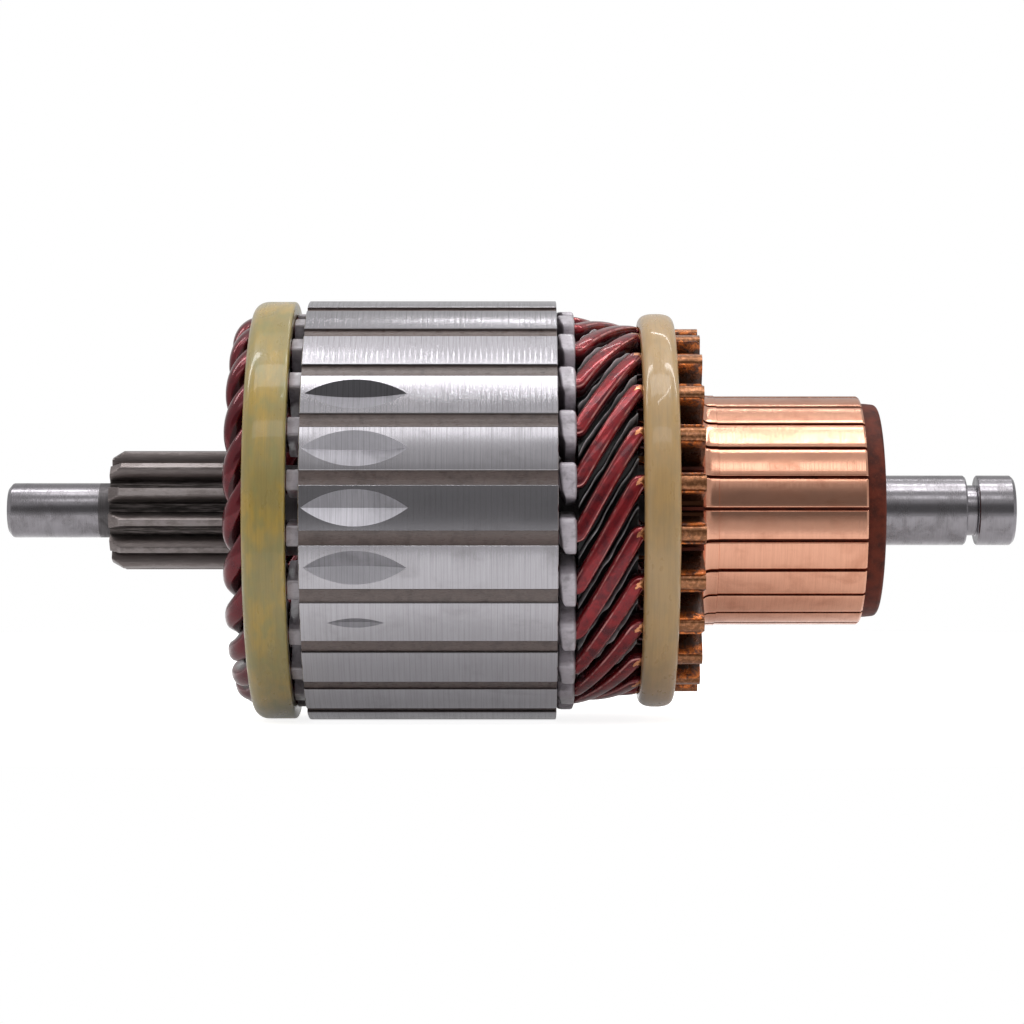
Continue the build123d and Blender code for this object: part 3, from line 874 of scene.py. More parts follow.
@dataclass
class Shaft:
    """The shaft, ground at its journals, with the pinion's teeth cut in it."""

    layout: Layout
    finishes: Finishes
    tooth_count: int = 12
    gear_module: float = 1.25
    pressure_angle: float = 20.0
    addendum: float = 1.1
    dedendum: float = 1.45
    root_fillet: float = 0.35
    end_chamfer_depth: float = 1.0
    end_chamfer_length: float = 1.6
    phase: float = 191.8
    drive_radius: float = 3.9
    journal_radius: float = 5.0
    groove_radius: float = 3.6
    centre_radius: float = 1.3
    tip_round: float = 0.12
    back_chamfer: Pair = (0.4, 0.25)
    neck_sink: float = 0.05
    body_sink: float = 0.8
    drive_tip: tuple[Pair, ...] = ((0.0, 0.75), (0.15, 0.55), (0.55, 0.08), (0.8, 0.0))
    round_steps: int = 128

    def tooth_outline(self) -> tuple[np.ndarray, np.ndarray]:
        """Radius and angle round the whole pinion.

        An involute's angle falls behind the base circle's by roll minus the roll's arctangent, where
        the roll is the root of (radius over base radius) squared, less one.

        Returns:
            Radii in millimetres and angles in degrees, once round.
        """
        pitch_radius = self.gear_module * self.tooth_count / 2
        tip, root = pitch_radius + self.addendum, pitch_radius - self.dedendum
        pressure = math.radians(self.pressure_angle)
        base = pitch_radius * math.cos(pressure)
        half = math.pi / (2 * self.tooth_count) + math.tan(pressure) - pressure
        radius = np.linspace(base, tip - self.tip_round, 6)
        roll = np.sqrt((radius / base) ** 2 - 1)
        flank = half - (roll - np.arctan(roll))
        tip_half = flank[-1] - self.tip_round / tip
        fillet = np.linspace(0, 1, 4)
        foot_radius = root + self.root_fillet * (1 - np.cos(fillet * math.pi / 2))
        foot_angle = half + self.root_fillet / root * (1 - np.sin(fillet * math.pi / 2))
        clear = radius > root + self.root_fillet
        half_radius = np.concatenate([foot_radius, radius[clear], [tip, tip]])
        half_angle = np.concatenate([foot_angle, flank[clear], [tip_half, tip_half / 3]])
        one_radius = np.concatenate([half_radius, half_radius[::-1]])
        one_angle = np.concatenate([-half_angle, half_angle[::-1]])
        turns = np.arange(self.tooth_count)[:, None] * 2 * math.pi / self.tooth_count
        angle = (turns + one_angle).ravel()
        return np.tile(one_radius, self.tooth_count), np.degrees(angle) + self.phase

    def pinion(self, surface: Surface) -> None:
        """Adds the teeth: the outline runs along the shaft, held below a cone at its drive end.

        Args:
            surface: Where it is added.
        """
        radius, angle = self.tooth_outline()
        tip = radius.max()
        start, end = self.layout.pinion_start, self.layout.pinion_end
        depth = np.linspace(0, 1, 7)
        ramp = np.stack([start + self.end_chamfer_length * depth, tip - self.end_chamfer_depth * (1 - depth)],
                        axis=-1)
        length, drop = self.back_chamfer
        rows = np.concatenate([ramp, [[end - length, tip], [end, tip - drop]]])
        sheet = around(rows[:, :1], np.minimum(radius[None, :], rows[:, 1:]), angle)
        inner = around(start, self.drive_radius - self.neck_sink, angle[None])
        outer = around(end, self.layout.body_radius - self.body_sink, angle[None])
        surface.grid(np.concatenate([inner, sheet, outer]), wrap=(False, True), turn=Turn.REVERSED, slot=1)

    def centre_hole(self, x: float, inwards: float) -> np.ndarray:
        """Profile of a centre drilling, a countersink with a short bore, from the axis outwards.

        Args:
            x: Place of the shaft's end.
            inwards: One or minus one, towards the shaft's middle.

        Returns:
            Points of (x, radius).
        """
        bore = self.centre_radius * 0.4
        return np.array([
            [x + inwards * 2.6, 0.0],
            [x + inwards * 2.2, bore],
            [x + inwards * (self.centre_radius - bore) * 1.7, bore],
            [x, self.centre_radius],
        ])

    def make(self) -> None:
        """Makes the shaft and the pinion as one piece."""
        lay = self.layout
        surface = Surface()
        drive, journal, groove = self.drive_radius, self.journal_radius, self.groove_radius
        hub_end = lay.moulding_end - 0.3
        parts = (
            (0, [*self.centre_hole(lay.shaft_start, 1.0),
                 *([lay.shaft_start + along, drive - drop] for along, drop in self.drive_tip),
                 [lay.neck_start, drive]]),
            (2, [[lay.neck_start, drive], [lay.pinion_start + 0.1, drive]]),
            (2, [[lay.pinion_end - 0.1, lay.body_radius - 0.9], [lay.pinion_end, lay.body_radius - 0.2],
                 [lay.pinion_end + 0.2, lay.body_radius], [lay.moulding_end - 0.4, lay.body_radius],
                 [hub_end, journal]]),
            (0, [[hub_end, journal], [lay.groove_start - 0.25, journal], [lay.groove_start, journal - 0.2],
                 [lay.groove_start + 0.05, groove + 0.1], [lay.groove_start + 0.15, groove],
                 [lay.collar_start - 0.15, groove], [lay.collar_start - 0.05, groove + 0.1],
                 [lay.collar_start, journal - 0.15], [lay.collar_start + 0.15, journal],
                 [lay.shaft_end - 0.5, journal], [lay.shaft_end - 0.12, journal - 0.32],
                 [lay.shaft_end, journal - 0.5], *self.centre_hole(lay.shaft_end, -1.0)[::-1]]),
        )
        for slot, profile in parts:
            surface.turned(np.array(profile), self.round_steps, slot=slot)
        self.pinion(surface)
        steels = [self.finishes.ground, self.finishes.pinion, self.finishes.bore_steel]
        place(surface.make("shaft_and_pinion", steels, 24.0), "shaft_steel", "shaft")


@dataclass
class Core:
    """The stack of sheets, turned outside, with semi-closed slots and milled balance cuts."""

    layout: Layout
    finishes: Finishes
    slot_opening: float = 2.0
    slot_lip: float = 1.35
    slot_shoulder: float = 0.5
    slot_width: float = 2.9
    slot_floor: float = 20.85
    cut_place: float = 7.6
    cutter_radius: float = 25.0
    cutter_slope: float = 69.0
    burr: float = 0.10
    cut_steps: int = 61
    cut_depths: dict[int, float] = field(default_factory=lambda: {-2: 1.0, -1: 1.08, 0: 1.07, 1: 1.0, 2: 0.30})
    # Painted light and shade: which lit or shaded copy of the milled steel each of a cut's two walls gets.
    cut_wall_light: dict[int, tuple[WallLight, WallLight]] = field(default_factory=lambda: {
        -2: (WallLight.DULL, WallLight.EVEN), -1: (WallLight.LIT, WallLight.EVEN), 0: (WallLight.EVEN, WallLight.LIT),
        1: (WallLight.EVEN, WallLight.LIT), 2: (WallLight.EVEN, WallLight.EVEN),
    })

    @property
    def half_slot(self) -> np.ndarray:
        """Half a slot's outline as (height, side), from the middle of its floor up to the land's burr.

        Returns:
            Points of (height, side).
        """
        radius, wide, narrow = self.layout.core_radius, self.slot_width / 2, self.slot_opening / 2
        top = radius - self.slot_lip - self.slot_shoulder
        return np.array([
            [self.slot_floor, 0.0], [self.slot_floor, wide], [top, wide], [top + self.slot_shoulder, narrow],
            [math.sqrt(radius ** 2 - narrow ** 2) - self.burr, narrow],
        ])

    @property
    def land_half(self) -> float:
        """Half the width of a tooth's land, measured straight across."""
        half = math.radians(self.layout.pitch / 2) - math.asin(self.slot_opening / 2 / self.layout.core_radius)
        return self.layout.core_radius * math.sin(half)

    def cut_height(self, x: np.ndarray, side: np.ndarray, depth: float) -> np.ndarray:
        """Height of the milled vee over the axis.

        A disc cutter with a pointed rim leaves the rim's height plus its radius, less the root of
        (its radius less the side distance over the slope's tangent) squared less (distance along) squared.

        Args:
            x: Places along the shaft.
            side: Distances from the tooth's middle.
            depth: The cut's depth.

        Returns:
            Heights over the axis.
        """
        along = x - self.layout.core_start - self.cut_place
        reach = self.cutter_radius - np.abs(side) / math.tan(math.radians(self.cutter_slope))
        rim = self.layout.core_radius - depth
        return rim + self.cutter_radius - np.sqrt(np.maximum(reach ** 2 - along ** 2, 0.0))

    def cut_half_width(self, x: np.ndarray, depth: float) -> np.ndarray:
        """Half the width of the cut at each place, found by halving the interval where it meets the land.

        Args:
            x: Places along the shaft.
            depth: The cut's depth.

        Returns:
            Half widths, nought outside the cut.
        """
        low, high = np.zeros_like(x), np.full_like(x, self.land_half)
        for _ in range(HALVINGS):
            middle = (low + high) / 2
            land = np.sqrt(self.layout.core_radius ** 2 - middle ** 2)
            inside = self.cut_height(x, middle, depth) < land
            low, high = np.where(inside, middle, low), np.where(inside, high, middle)
        return np.where(self.cut_height(x, np.zeros_like(x), depth) < self.layout.core_radius, low, 0.0)

    def land(self, surface: Surface, angle: float, tooth: int) -> None:
        """Adds one tooth's land, a strip on each side of its middle with burrs, and the walls of its cut.

        Args:
            surface: Where it is added.
            angle: The tooth's angle.
            tooth: Its number, counted from the middle one.
        """
        lay = self.layout
        depth = self.cut_depths.get(tooth, 0.0)
        radius, edge, burr = lay.core_radius, self.land_half, self.burr
        if depth:
            reach = math.sqrt(self.cutter_radius ** 2 - (self.cutter_radius - depth) ** 2)
            middle = lay.core_start + self.cut_place
            inner = middle + reach * np.sin(np.linspace(-math.pi / 2, math.pi / 2, self.cut_steps))
            inner = inner[inner > lay.core_start + burr + 0.01]
        else:
            inner = np.linspace(lay.core_start + 1.0, lay.core_end - 1.0, 5)
        x = np.array([lay.core_start, lay.core_start + burr, *inner, lay.core_end - burr, lay.core_end])
        drop = np.where((x == x[0]) | (x == x[-1]), burr, 0.0)[:, None]
        half = self.cut_half_width(x, depth) if depth else np.zeros_like(x)
        side = half[:, None] + (edge - burr - half[:, None]) * np.linspace(0, 1, 6)
        rise = np.sqrt(radius ** 2 - side ** 2) - drop
        side = np.pad(side, ((0, 0), (0, 1)), constant_values=edge)
        rise = np.concatenate([rise, math.sqrt(radius ** 2 - edge ** 2) - burr - drop], axis=1)
        tone = np.zeros_like(side)
        # Painted shade along the burr at each edge of the land, beside the slots.
        tone[:, -1] = SLOT_EDGE_SHADE
        turns = ((-1, Turn.PLAIN), (1, Turn.REVERSED))
        for sign, turn in turns:
            surface.grid(upright(x[:, None], rise, sign * side, angle), turn=turn, tone=tone)
        if not depth:
            return
        row = half > 0
        row[1:-1] |= (half[:-2] > 0) | (half[2:] > 0)
        x = x[row][:, None]
        for (sign, turn), wall in zip(turns, self.cut_wall_light[tooth]):
            side = sign * half[row][:, None] * np.linspace(0, 1, 7)
            rise = np.minimum(self.cut_height(x, side, depth), np.sqrt(radius ** 2 - side ** 2))
            surface.grid(upright(x, rise, side, angle), slot=wall.value, turn=turn)

    def slot_walls(self, surface: Surface, angle: float) -> None:
        """Adds a slot's walls from the lands' edges down to its floor, running the core's length.

        Args:
            surface: Where it is added.
            angle: The slot's angle.
        """
        half = self.half_slot
        path = np.concatenate([half[::-1], half[1:] * [1, -1]])
        x = np.array([[self.layout.core_start], [self.layout.core_end]])
        # Painted shade: the slots' lips are darkened and the walls below them painted black.
        tone = np.broadcast_to(np.where(path[:, 0] > half[2, 0], SLOT_EDGE_SHADE, 1.0), (2, len(path)))
        surface.grid(upright(x, path[:, 0], path[:, 1], angle), tone=tone)

    def end_faces(self, surface: Surface, number: int) -> None:
        """Adds the two end faces of one tooth's sector, from the bore to the land.

        Args:
            surface: Where it is added.
            number: The slot before the tooth.
        """
        lay, half = self.layout, self.half_slot
        first, second = lay.slot_angle(number), lay.slot_angle(number + 1)
        side = np.linspace(-1, 1, 9)[1:-1] * (self.land_half - self.burr)
        # Painted shade on both end faces of the sector.
        for x, turn in ((lay.core_start, Turn.REVERSED), (lay.core_end, Turn.PLAIN)):
            surface.flat(np.concatenate([
                upright(x, half[:, 0], half[:, 1], first),
                upright(x, np.sqrt(lay.core_radius ** 2 - side * side) - self.burr, side, (first + second) / 2),
                upright(x, half[::-1, 0], -half[::-1, 1], second),
                around(x, lay.body_radius, np.linspace(second, first, 4)),
            ]), turn, tone=CORE_END_SHADE)

    def make(self) -> None:
        """Makes the core as one piece."""
        surface = Surface()
        count = self.layout.slot_count
        for number in range(count):
            tooth = number + 1 if number + 1 <= count // 2 else number + 1 - count
            self.land(surface, self.layout.slot_angle(number + 0.5), tooth)
            self.slot_walls(surface, self.layout.slot_angle(number))
            self.end_faces(surface, number)
        piece = surface.make("core_stack", [self.finishes.laminations, *self.finishes.milled], 20.0)
        place(piece, "core_steel", "core_laminations")


@dataclass
class Insulation:
    """Paper in and round the slots, and the creased sleeve between the winding's layers."""

    layout: Layout
    finishes: Finishes
    liner_width: float = 2.9
    liner_height: float = 7.3
    liner_corner: float = 0.4
    cuff_width: float = 5.0
    cuff_height: float = 8.0
    cuff_corner: float = 0.9
    cuff_taper: float = 1.1
    bore_height: float = 7.0
    bore_corner: float = 0.3
    filler_drop: float = 0.42
    ridge_height: float = 2.0
    ridge_width: float = 0.15
    sleeve_thickness: float = 0.2

    def tube(self, surface: Surface, angle: float, x: np.ndarray, inset: np.ndarray, width: float,
             height: float, corner: float, taper: float, tone: np.ndarray) -> None:
        """Adds a closed paper tube: a rounded outline carried along the shaft, and its bore back again.

        Args:
            surface: Where it is added.
            angle: The slot's angle.
            x: Places of the outside's rings, in order along the shaft.
            inset: How far each ring is drawn in.
            width: Size round the shaft.
            height: Size outwards.
            corner: Radius of the outline's corners.
            taper: How far the first rings lean along the shaft at one side.
            tone: Painted shade of each ring.
        """
        lay = self.layout
        outline = rounded_rectangle(height, width, corner, 5)
        bore = rounded_rectangle(self.bore_height, lay.conductor_width, self.bore_corner, 5)
        shrink = 1 - 2 * inset[:, None, None] / np.array([height, width])
        rings = outline[None] * shrink
        lean = taper * np.clip(rings[..., 1] / width * 2 - 0.1, 0, 1) ** 1.3
        along = x[:, None] + lean * np.linspace(1, 0, len(x))[:, None]
        ends = np.stack([bore, bore])
        rise = np.concatenate([rings[..., 0], ends[::-1, :, 0]]) + lay.middle_radius
        side = np.concatenate([rings[..., 1], ends[::-1, :, 1]])
        along = np.concatenate([along, np.broadcast_to([[x[-1]], [x[0]]], (2, len(bore)))])
        # Painted shade: the bore's two rings are darkened.
        shade = np.concatenate([tone, [0.8, 0.8]])[:, None] * np.ones(len(bore))
        surface.grid(upright(along, rise, side, angle), wrap=(True, True), turn=Turn.REVERSED, tone=shade)

    def slot_paper(self) -> None:
        """Makes the liners' ends, the cuffs and the varnished filler in the slots' mouths."""
        lay = self.layout
        surface = Surface()
        curve = 1 - np.sqrt(1 - np.linspace(1, 0, 5) ** 2)
        cuff_x = np.concatenate([lay.core_end + 0.5 * np.linspace(0, 1, 5),
                                 lay.cuff_end - 0.7 * np.linspace(1, 0, 5)])
        cuff_inset = np.concatenate([0.45 * curve, 0.6 * curve[::-1]])
        # Painted shade at both ends of each cuff, where it meets the core and where the wires leave it.
        cuff_end_shade = np.array([0.9, 0.55, 0.2, 0.0, 0.0, 0.0, 0.0, 0.1, 0.45, 0.85])
        for number in range(lay.slot_count):
            angle = lay.slot_angle(number)
            jitter = np.random.default_rng(number).uniform(-0.12, 0.12, 2)
            self.tube(surface, angle, cuff_x + 0.02, cuff_inset, self.cuff_width + jitter[0],
                      self.cuff_height + jitter[1], self.cuff_corner, self.cuff_taper, cuff_end_shade)
            liner_x = np.array([lay.liner_start, lay.liner_start + 0.15, lay.core_start + 0.3])
            # Painted shade at the liner's ends, most where it enters the core.
            self.tube(surface, angle, liner_x, np.array([0.1, 0.0, 0.0]), self.liner_width, self.liner_height,
                      self.liner_corner, 0.0, np.array([0.1, 0.0, 0.3]))
            side = np.linspace(-1, 1, 7)
            rise = lay.core_radius - self.filler_drop - 0.12 * (1 - side ** 2)
            x = np.linspace(lay.core_start + 0.05, lay.core_end - 0.05, 24)[:, None]
            lumps = 0.06 * np.sin(x * 1.7 + number * 2.1) * np.cos(side * 2.0)
            surface.grid(upright(x, rise + lumps, side, angle), turn=Turn.REVERSED, slot=1, tone=0.2)
        piece = surface.make("slot_papers", [self.finishes.cuff, self.finishes.filler], 40.0)
        place(piece, "slot_paper", "slot_liners")

    def sleeve(self, name: str, node: str, ends: Pair, radii: Pair,
               turn_at: Pair, travel: float, ridge: float, seed: int) -> None:
        """Makes a sleeve between the layers, pinched up into a ridge in each gap between conductors.

        The radius is the sleeve's own plus the ridge's height times a bell curve of the distance
        from the gap's middle, which runs round the shaft as the conductors do.

        Args:
            name: The piece's name.
            node: The CAD node it stands for.
            ends: Places of its two ends.
            radii: Its radius at those ends.
            turn_at: Places between which the conductors slant.
            travel: Angle that the conductors go round between them.
            ridge: Height of the ridges.
            seed: Which unevenness.
        """
        lay = self.layout
        surface = Surface()
        x = np.linspace(*ends, 44)[:, None]
        share = np.clip((x - turn_at[0]) / (turn_at[1] - turn_at[0]), 0, 1)
        step = np.linspace(-1, 1, 22, endpoint=False)
        offset = np.sign(step) * np.abs(step) ** 2.2 * lay.pitch / 2
        cell = np.arange(lay.slot_count)[:, None] * lay.pitch + lay.winding_phase + lay.pitch / 2
        angle = (cell + offset).ravel()
        draws = np.random.default_rng(seed).uniform(0, 2 * math.pi, (lay.slot_count, 3))
        phase = np.repeat(draws, len(step), axis=0)
        wave = (0.5 * np.sin(1.3 * x + phase[:, 0]) + 0.3 * np.sin(2.9 * x + phase[:, 1]))
        near = np.tile(np.exp(-(np.abs(step) * 1.6) ** 2), lay.slot_count)
        turned = angle + travel * share + wave * near * 0.9
        base = radii[0] + (radii[1] - radii[0]) * (x - ends[0]) / (ends[1] - ends[0])
        distance = np.tile(offset, lay.slot_count) * math.pi / 180 * base * 0.5
        bell = np.exp(-(distance / self.ridge_width) ** 2)
        uneven = 1 + 0.18 * np.sin(0.9 * x + phase[:, 2]) + 0.08 * np.sin(3.7 * x + phase[:, 0])
        radius = base + self.sleeve_thickness / 2 + ridge * bell * uneven
        # Painted shade: the sleeve is darkened nearly to black except along the ridges' crests, and its inner
        # face and rims below are darkened as well.
        shade = 1 - np.clip((bell - 0.45) * 2.4, 0, 1)
        surface.grid(around(x, radius, turned), wrap=(False, True), tone=shade, turn=Turn.REVERSED)
        inner = around(x, base - self.sleeve_thickness / 2, turned)
        surface.grid(inner, wrap=(False, True), tone=np.ones(inner.shape[:2]))
        for row, turn in ((0, Turn.PLAIN), (-1, Turn.REVERSED)):
            rim = np.stack([around(x, radius, turned)[row], inner[row]])
            surface.grid(rim, wrap=(False, True), turn=turn, tone=np.full(rim.shape[:2], 0.8))
        place(surface.make(name, [self.finishes.sleeve], 60.0), "sleeve_paper", node)

    def make(self, run_start: float, nose_start: float, run_turn: float) -> None:
        """Makes all the paper.

        Args:
            run_start: Where the drive-end conductors begin to slant.
            nose_start: Where their noses begin.
            run_turn: Angle that they go round between the two.
        """
        lay = self.layout
        self.slot_paper()
        self.sleeve("commutator_end_sleeve", "commutator_end_layer_sleeve",
                    (lay.cuff_end + 0.3, lay.slant_end - 0.1), (lay.middle_radius, lay.joint_radius),
                    (lay.cuff_end + 0.25, lay.slant_end - 0.25), -2 * lay.pitch, self.ridge_height, 5)
        self.sleeve("drive_end_sleeve", "drive_end_layer_sleeve", (nose_start + 1.0, lay.liner_start - 0.3),
                    (lay.middle_radius, lay.middle_radius), (nose_start, run_start), -run_turn, 0.5, 9)
        dress_node("slot_separators", self.finishes.filler)


def dress_node(node: str, finish: Material) -> None:
    """Gives a CAD node that stays its finish.

    Args:
        node: Its name.
        finish: The material.
    """
    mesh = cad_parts[node].data
    mesh.materials.clear()
    mesh.materials.append(finish)


@dataclass
class Winding:
    """The hairpins: each runs from a riser down a slant, along a slot, round the nose and back."""

    layout: Layout
    finishes: Finishes
    coil_throw: int = 4
    front_pitch: int = 2
    bend_reach: float = 0.8
    drive_end_slope: float = 61.5
    mouth_reach: float = 0.25
    nose_slope: float = 57.0
    corner: float = 0.80
    nose_corner: float = 1.05
    nose_swell: float = 0.42
    inner_swell: float = 0.26
    softness: float = 0.36
    strip_place: float = 16.9
    stations: int = 150
    route_step: float = 0.1
    straight_weight: float = 0.1
    bend_weight: float = 9.0

    @property
    def nose_radius(self) -> float:
        """Half the distance between the layers, which the nose folds round."""
        return (self.layout.top_radius - self.layout.bottom_radius) / 2

    @property
    def nose_turn(self) -> float:
        """Angle that the nose goes round the shaft, in degrees."""
        travel = math.pi * self.nose_radius * math.tan(math.radians(self.nose_slope))
        return math.degrees(travel / self.layout.middle_radius)

    @property
    def run_travel(self) -> float:
        """Distance round the shaft of each slanted run at the drive end.

        Returns:
            The distance in millimetres.
        """
        lay = self.layout
        turn = math.radians(self.coil_throw * lay.pitch - self.nose_turn)
        return turn / (1 / lay.top_radius + 1 / lay.bottom_radius)

    @property
    def run_start(self) -> float:
        """Where the drive-end runs begin to slant."""
        return self.layout.liner_start - self.bend_reach

    @property
    def nose_start(self) -> float:
        """Where the noses begin."""
        return self.run_start - self.run_travel / math.tan(math.radians(self.drive_end_slope))

    def corners(self) -> np.ndarray:
        """The route's corners: place, radius, angle, lean and height of the wire.

        Returns:
            One row for each corner, from the top layer's bare end to the bottom layer's.
        """
        lay = self.layout
        far = self.coil_throw * lay.pitch
        slant = self.front_pitch * lay.pitch
        reach = self.mouth_reach
        full, bare = lay.conductor_height, lay.bare_height
        top_turn = math.degrees(self.run_travel / lay.top_radius)
        top = [
            (lay.riser_end, lay.bare_top_radius, -slant, 0, bare),
            (lay.slant_end + 2.0, lay.bare_top_radius, -slant, 0, bare),
            (lay.slant_end, lay.slant_top_radius, -slant, 0, bare),
            (lay.slant_end - reach, lay.slant_top_radius + 0.13, -slant, 0, bare),
            (lay.cuff_end + reach, lay.top_radius - 0.13, 0, 0, full),
            (lay.cuff_end, lay.top_radius, 0, 0, full),
            (self.run_start, lay.top_radius, 0, 0, full),
        ]
        lean = np.linspace(0, 180, 13)
        nose = np.stack([
            self.nose_start - self.nose_radius * np.sin(np.radians(lean)),
            lay.middle_radius + self.nose_radius * np.cos(np.radians(lean)),
            top_turn + self.nose_turn * lean / 180,
            lean,
            np.full_like(lean, full),
        ], axis=-1)
        bottom = [
            (self.run_start, lay.bottom_radius, far, 180, full),
            (lay.cuff_end, lay.bottom_radius, far, 180, full),
            (lay.cuff_end + reach, lay.bottom_radius - 0.11, far, 180, full),
            (lay.slant_end - reach, lay.slant_bottom_radius + 0.11, far + slant, 180, bare),
            (lay.slant_end, lay.slant_bottom_radius, far + slant, 180, bare),
            (lay.slant_end + 2.0, lay.bare_bottom_radius, far + slant, 180, bare),
            (lay.riser_end, lay.bare_bottom_radius, far + slant, 180, bare),
        ]
        return np.concatenate([np.array(top), nose, np.array(bottom)])

    def route(self) -> np.ndarray:
        """The route with soft bends: corners joined, then averaged with a bell curve along the wire.

        Returns:
            Rows of place, radius, angle, lean and height, closer together where the wire bends.
        """
        table = self.corners()
        length = self.lengths(table)
        fine = np.arange(0, length[-1], self.route_step)
        dense = np.stack([np.interp(fine, length, column) for column in table.T], axis=-1)
        reach = int(4 * self.softness / self.route_step)
        bell = np.exp(-0.5 * (np.arange(-reach, reach + 1) * self.route_step / self.softness) ** 2)
        bell /= bell.sum()
        ahead = dense[0] + (dense[0] - dense[1:reach + 1][::-1])
        behind = dense[-1] + (dense[-1] - dense[-reach - 1:-1][::-1])
        padded = np.concatenate([ahead, dense, behind])
        soft = np.stack([np.convolve(column, bell, mode="valid") for column in padded.T], axis=-1)
        points = around(soft[:, 0], soft[:, 1], soft[:, 2])
        tangent = np.gradient(points, axis=0)
        tangent /= np.linalg.norm(tangent, axis=1, keepdims=True)
        bending = np.linalg.norm(np.gradient(tangent, axis=0), axis=1)
        bending += np.radians(np.abs(np.gradient(soft[:, 3])))
        weight = np.cumsum(self.straight_weight + self.bend_weight * bending)
        pick = np.interp(np.linspace(weight[0], weight[-1], self.stations), weight, np.arange(len(weight)))
        return np.stack([np.interp(pick, np.arange(len(soft)), column) for column in soft.T], axis=-1)

    def lengths(self, table: np.ndarray) -> np.ndarray:
        """Distance along the route at each row.

        Args:
            table: Rows of place, radius and angle.

        Returns:
            Distances from the first row.
        """
        turns = np.radians(np.diff(table[:, 2])) * table[1:, 1]
        steps = np.sqrt(np.diff(table[:, 0]) ** 2 + np.diff(table[:, 1]) ** 2 + turns ** 2)
        return np.concatenate([[0.0], np.cumsum(steps)])

    def wire(self, angle: float, seed: int) -> Surface:
        """One hairpin: a rounded outline carried along the route, its outer face kept by the lean.

        Args:
            angle: Angle of the hairpin's top slot.
            seed: Which small unevenness the hairpin has.

        Returns:
            The surface of the wire, with the stripped distance and the place across as its pattern.
        """
        lay = self.layout
        rows = self.route()
        draw = np.random.default_rng(seed).uniform(-1, 1, 4)
        nose = np.exp(-((rows[:, 0] - self.nose_start) / 2.5) ** 2)
        x = rows[:, 0] + 0.10 * draw[0] * nose
        slant = np.exp(-((rows[:, 0] - 13.2) / 2.0) ** 2)
        turn = rows[:, 2] + angle + 0.25 * draw[1] * slant * (rows[:, 3] < 90)
        centre = around(x, rows[:, 1], turn)
        tangent = np.gradient(centre, axis=0)
        tangent /= np.linalg.norm(tangent, axis=1, keepdims=True)
        lean = np.radians(rows[:, 3])[:, None]
        outwards = around(np.zeros_like(x), np.ones_like(x), turn)
        facing = outwards * np.cos(lean) - np.array([1.0, 0.0, 0.0]) * np.sin(lean)
        across = np.cross(tangent, facing)
        across /= np.linalg.norm(across, axis=1, keepdims=True)
        upwards = np.cross(across, tangent)
        outline = rounded_rectangle(lay.conductor_width, lay.conductor_height, self.corner, 5)
        worked = rounded_rectangle(lay.conductor_width, lay.conductor_height, self.nose_corner, 5)
        share = np.clip((self.run_start - 0.5 - rows[:, 0]) / 3.0, 0, 1)[:, None]
        share = share * share * (3 - 2 * share)
        swell = 1 + share * (self.nose_swell + (self.inner_swell - self.nose_swell) * rows[:, 3:4] / 180)
        wide = (outline[:, 0] + (worked[:, 0] - outline[:, 0]) * share) * swell
        tall = (outline[:, 1] + (worked[:, 1] - outline[:, 1]) * share) * rows[:, 4:5] / lay.conductor_height
        points = centre[:, None] + across[:, None] * wide[..., None] + upwards[:, None] * tall[..., None]
        closed = np.concatenate([outline, outline[:1]])
        walk = np.concatenate([[0.0], np.cumsum(np.linalg.norm(np.diff(closed, axis=0), axis=1))])
        round_place = walk - walk[-1] / 2
        past = np.maximum(x - self.strip_place, -5.0)
        uv = np.stack(np.broadcast_arrays(past[:, None], round_place[None]), axis=-1)
        surface = Surface()
        surface.grid(points, wrap=(False, True), uv=uv)
        surface.flat(points[0], Turn.PLAIN, uv=(past[0], 0.0))
        surface.flat(points[-1], Turn.REVERSED, uv=(past[-1], 0.0))
        return surface

    def make(self) -> None:
        """Makes all the hairpins."""
        for number in range(self.layout.slot_count):
            surface = self.wire(self.layout.slot_angle(number), number + 40)
            piece = surface.make(f"hairpin_{number + 1:02d}", [self.finishes.wire], 50.0)
            place(piece, "enamelled_copper", f"coil_{number + 1:02d}")


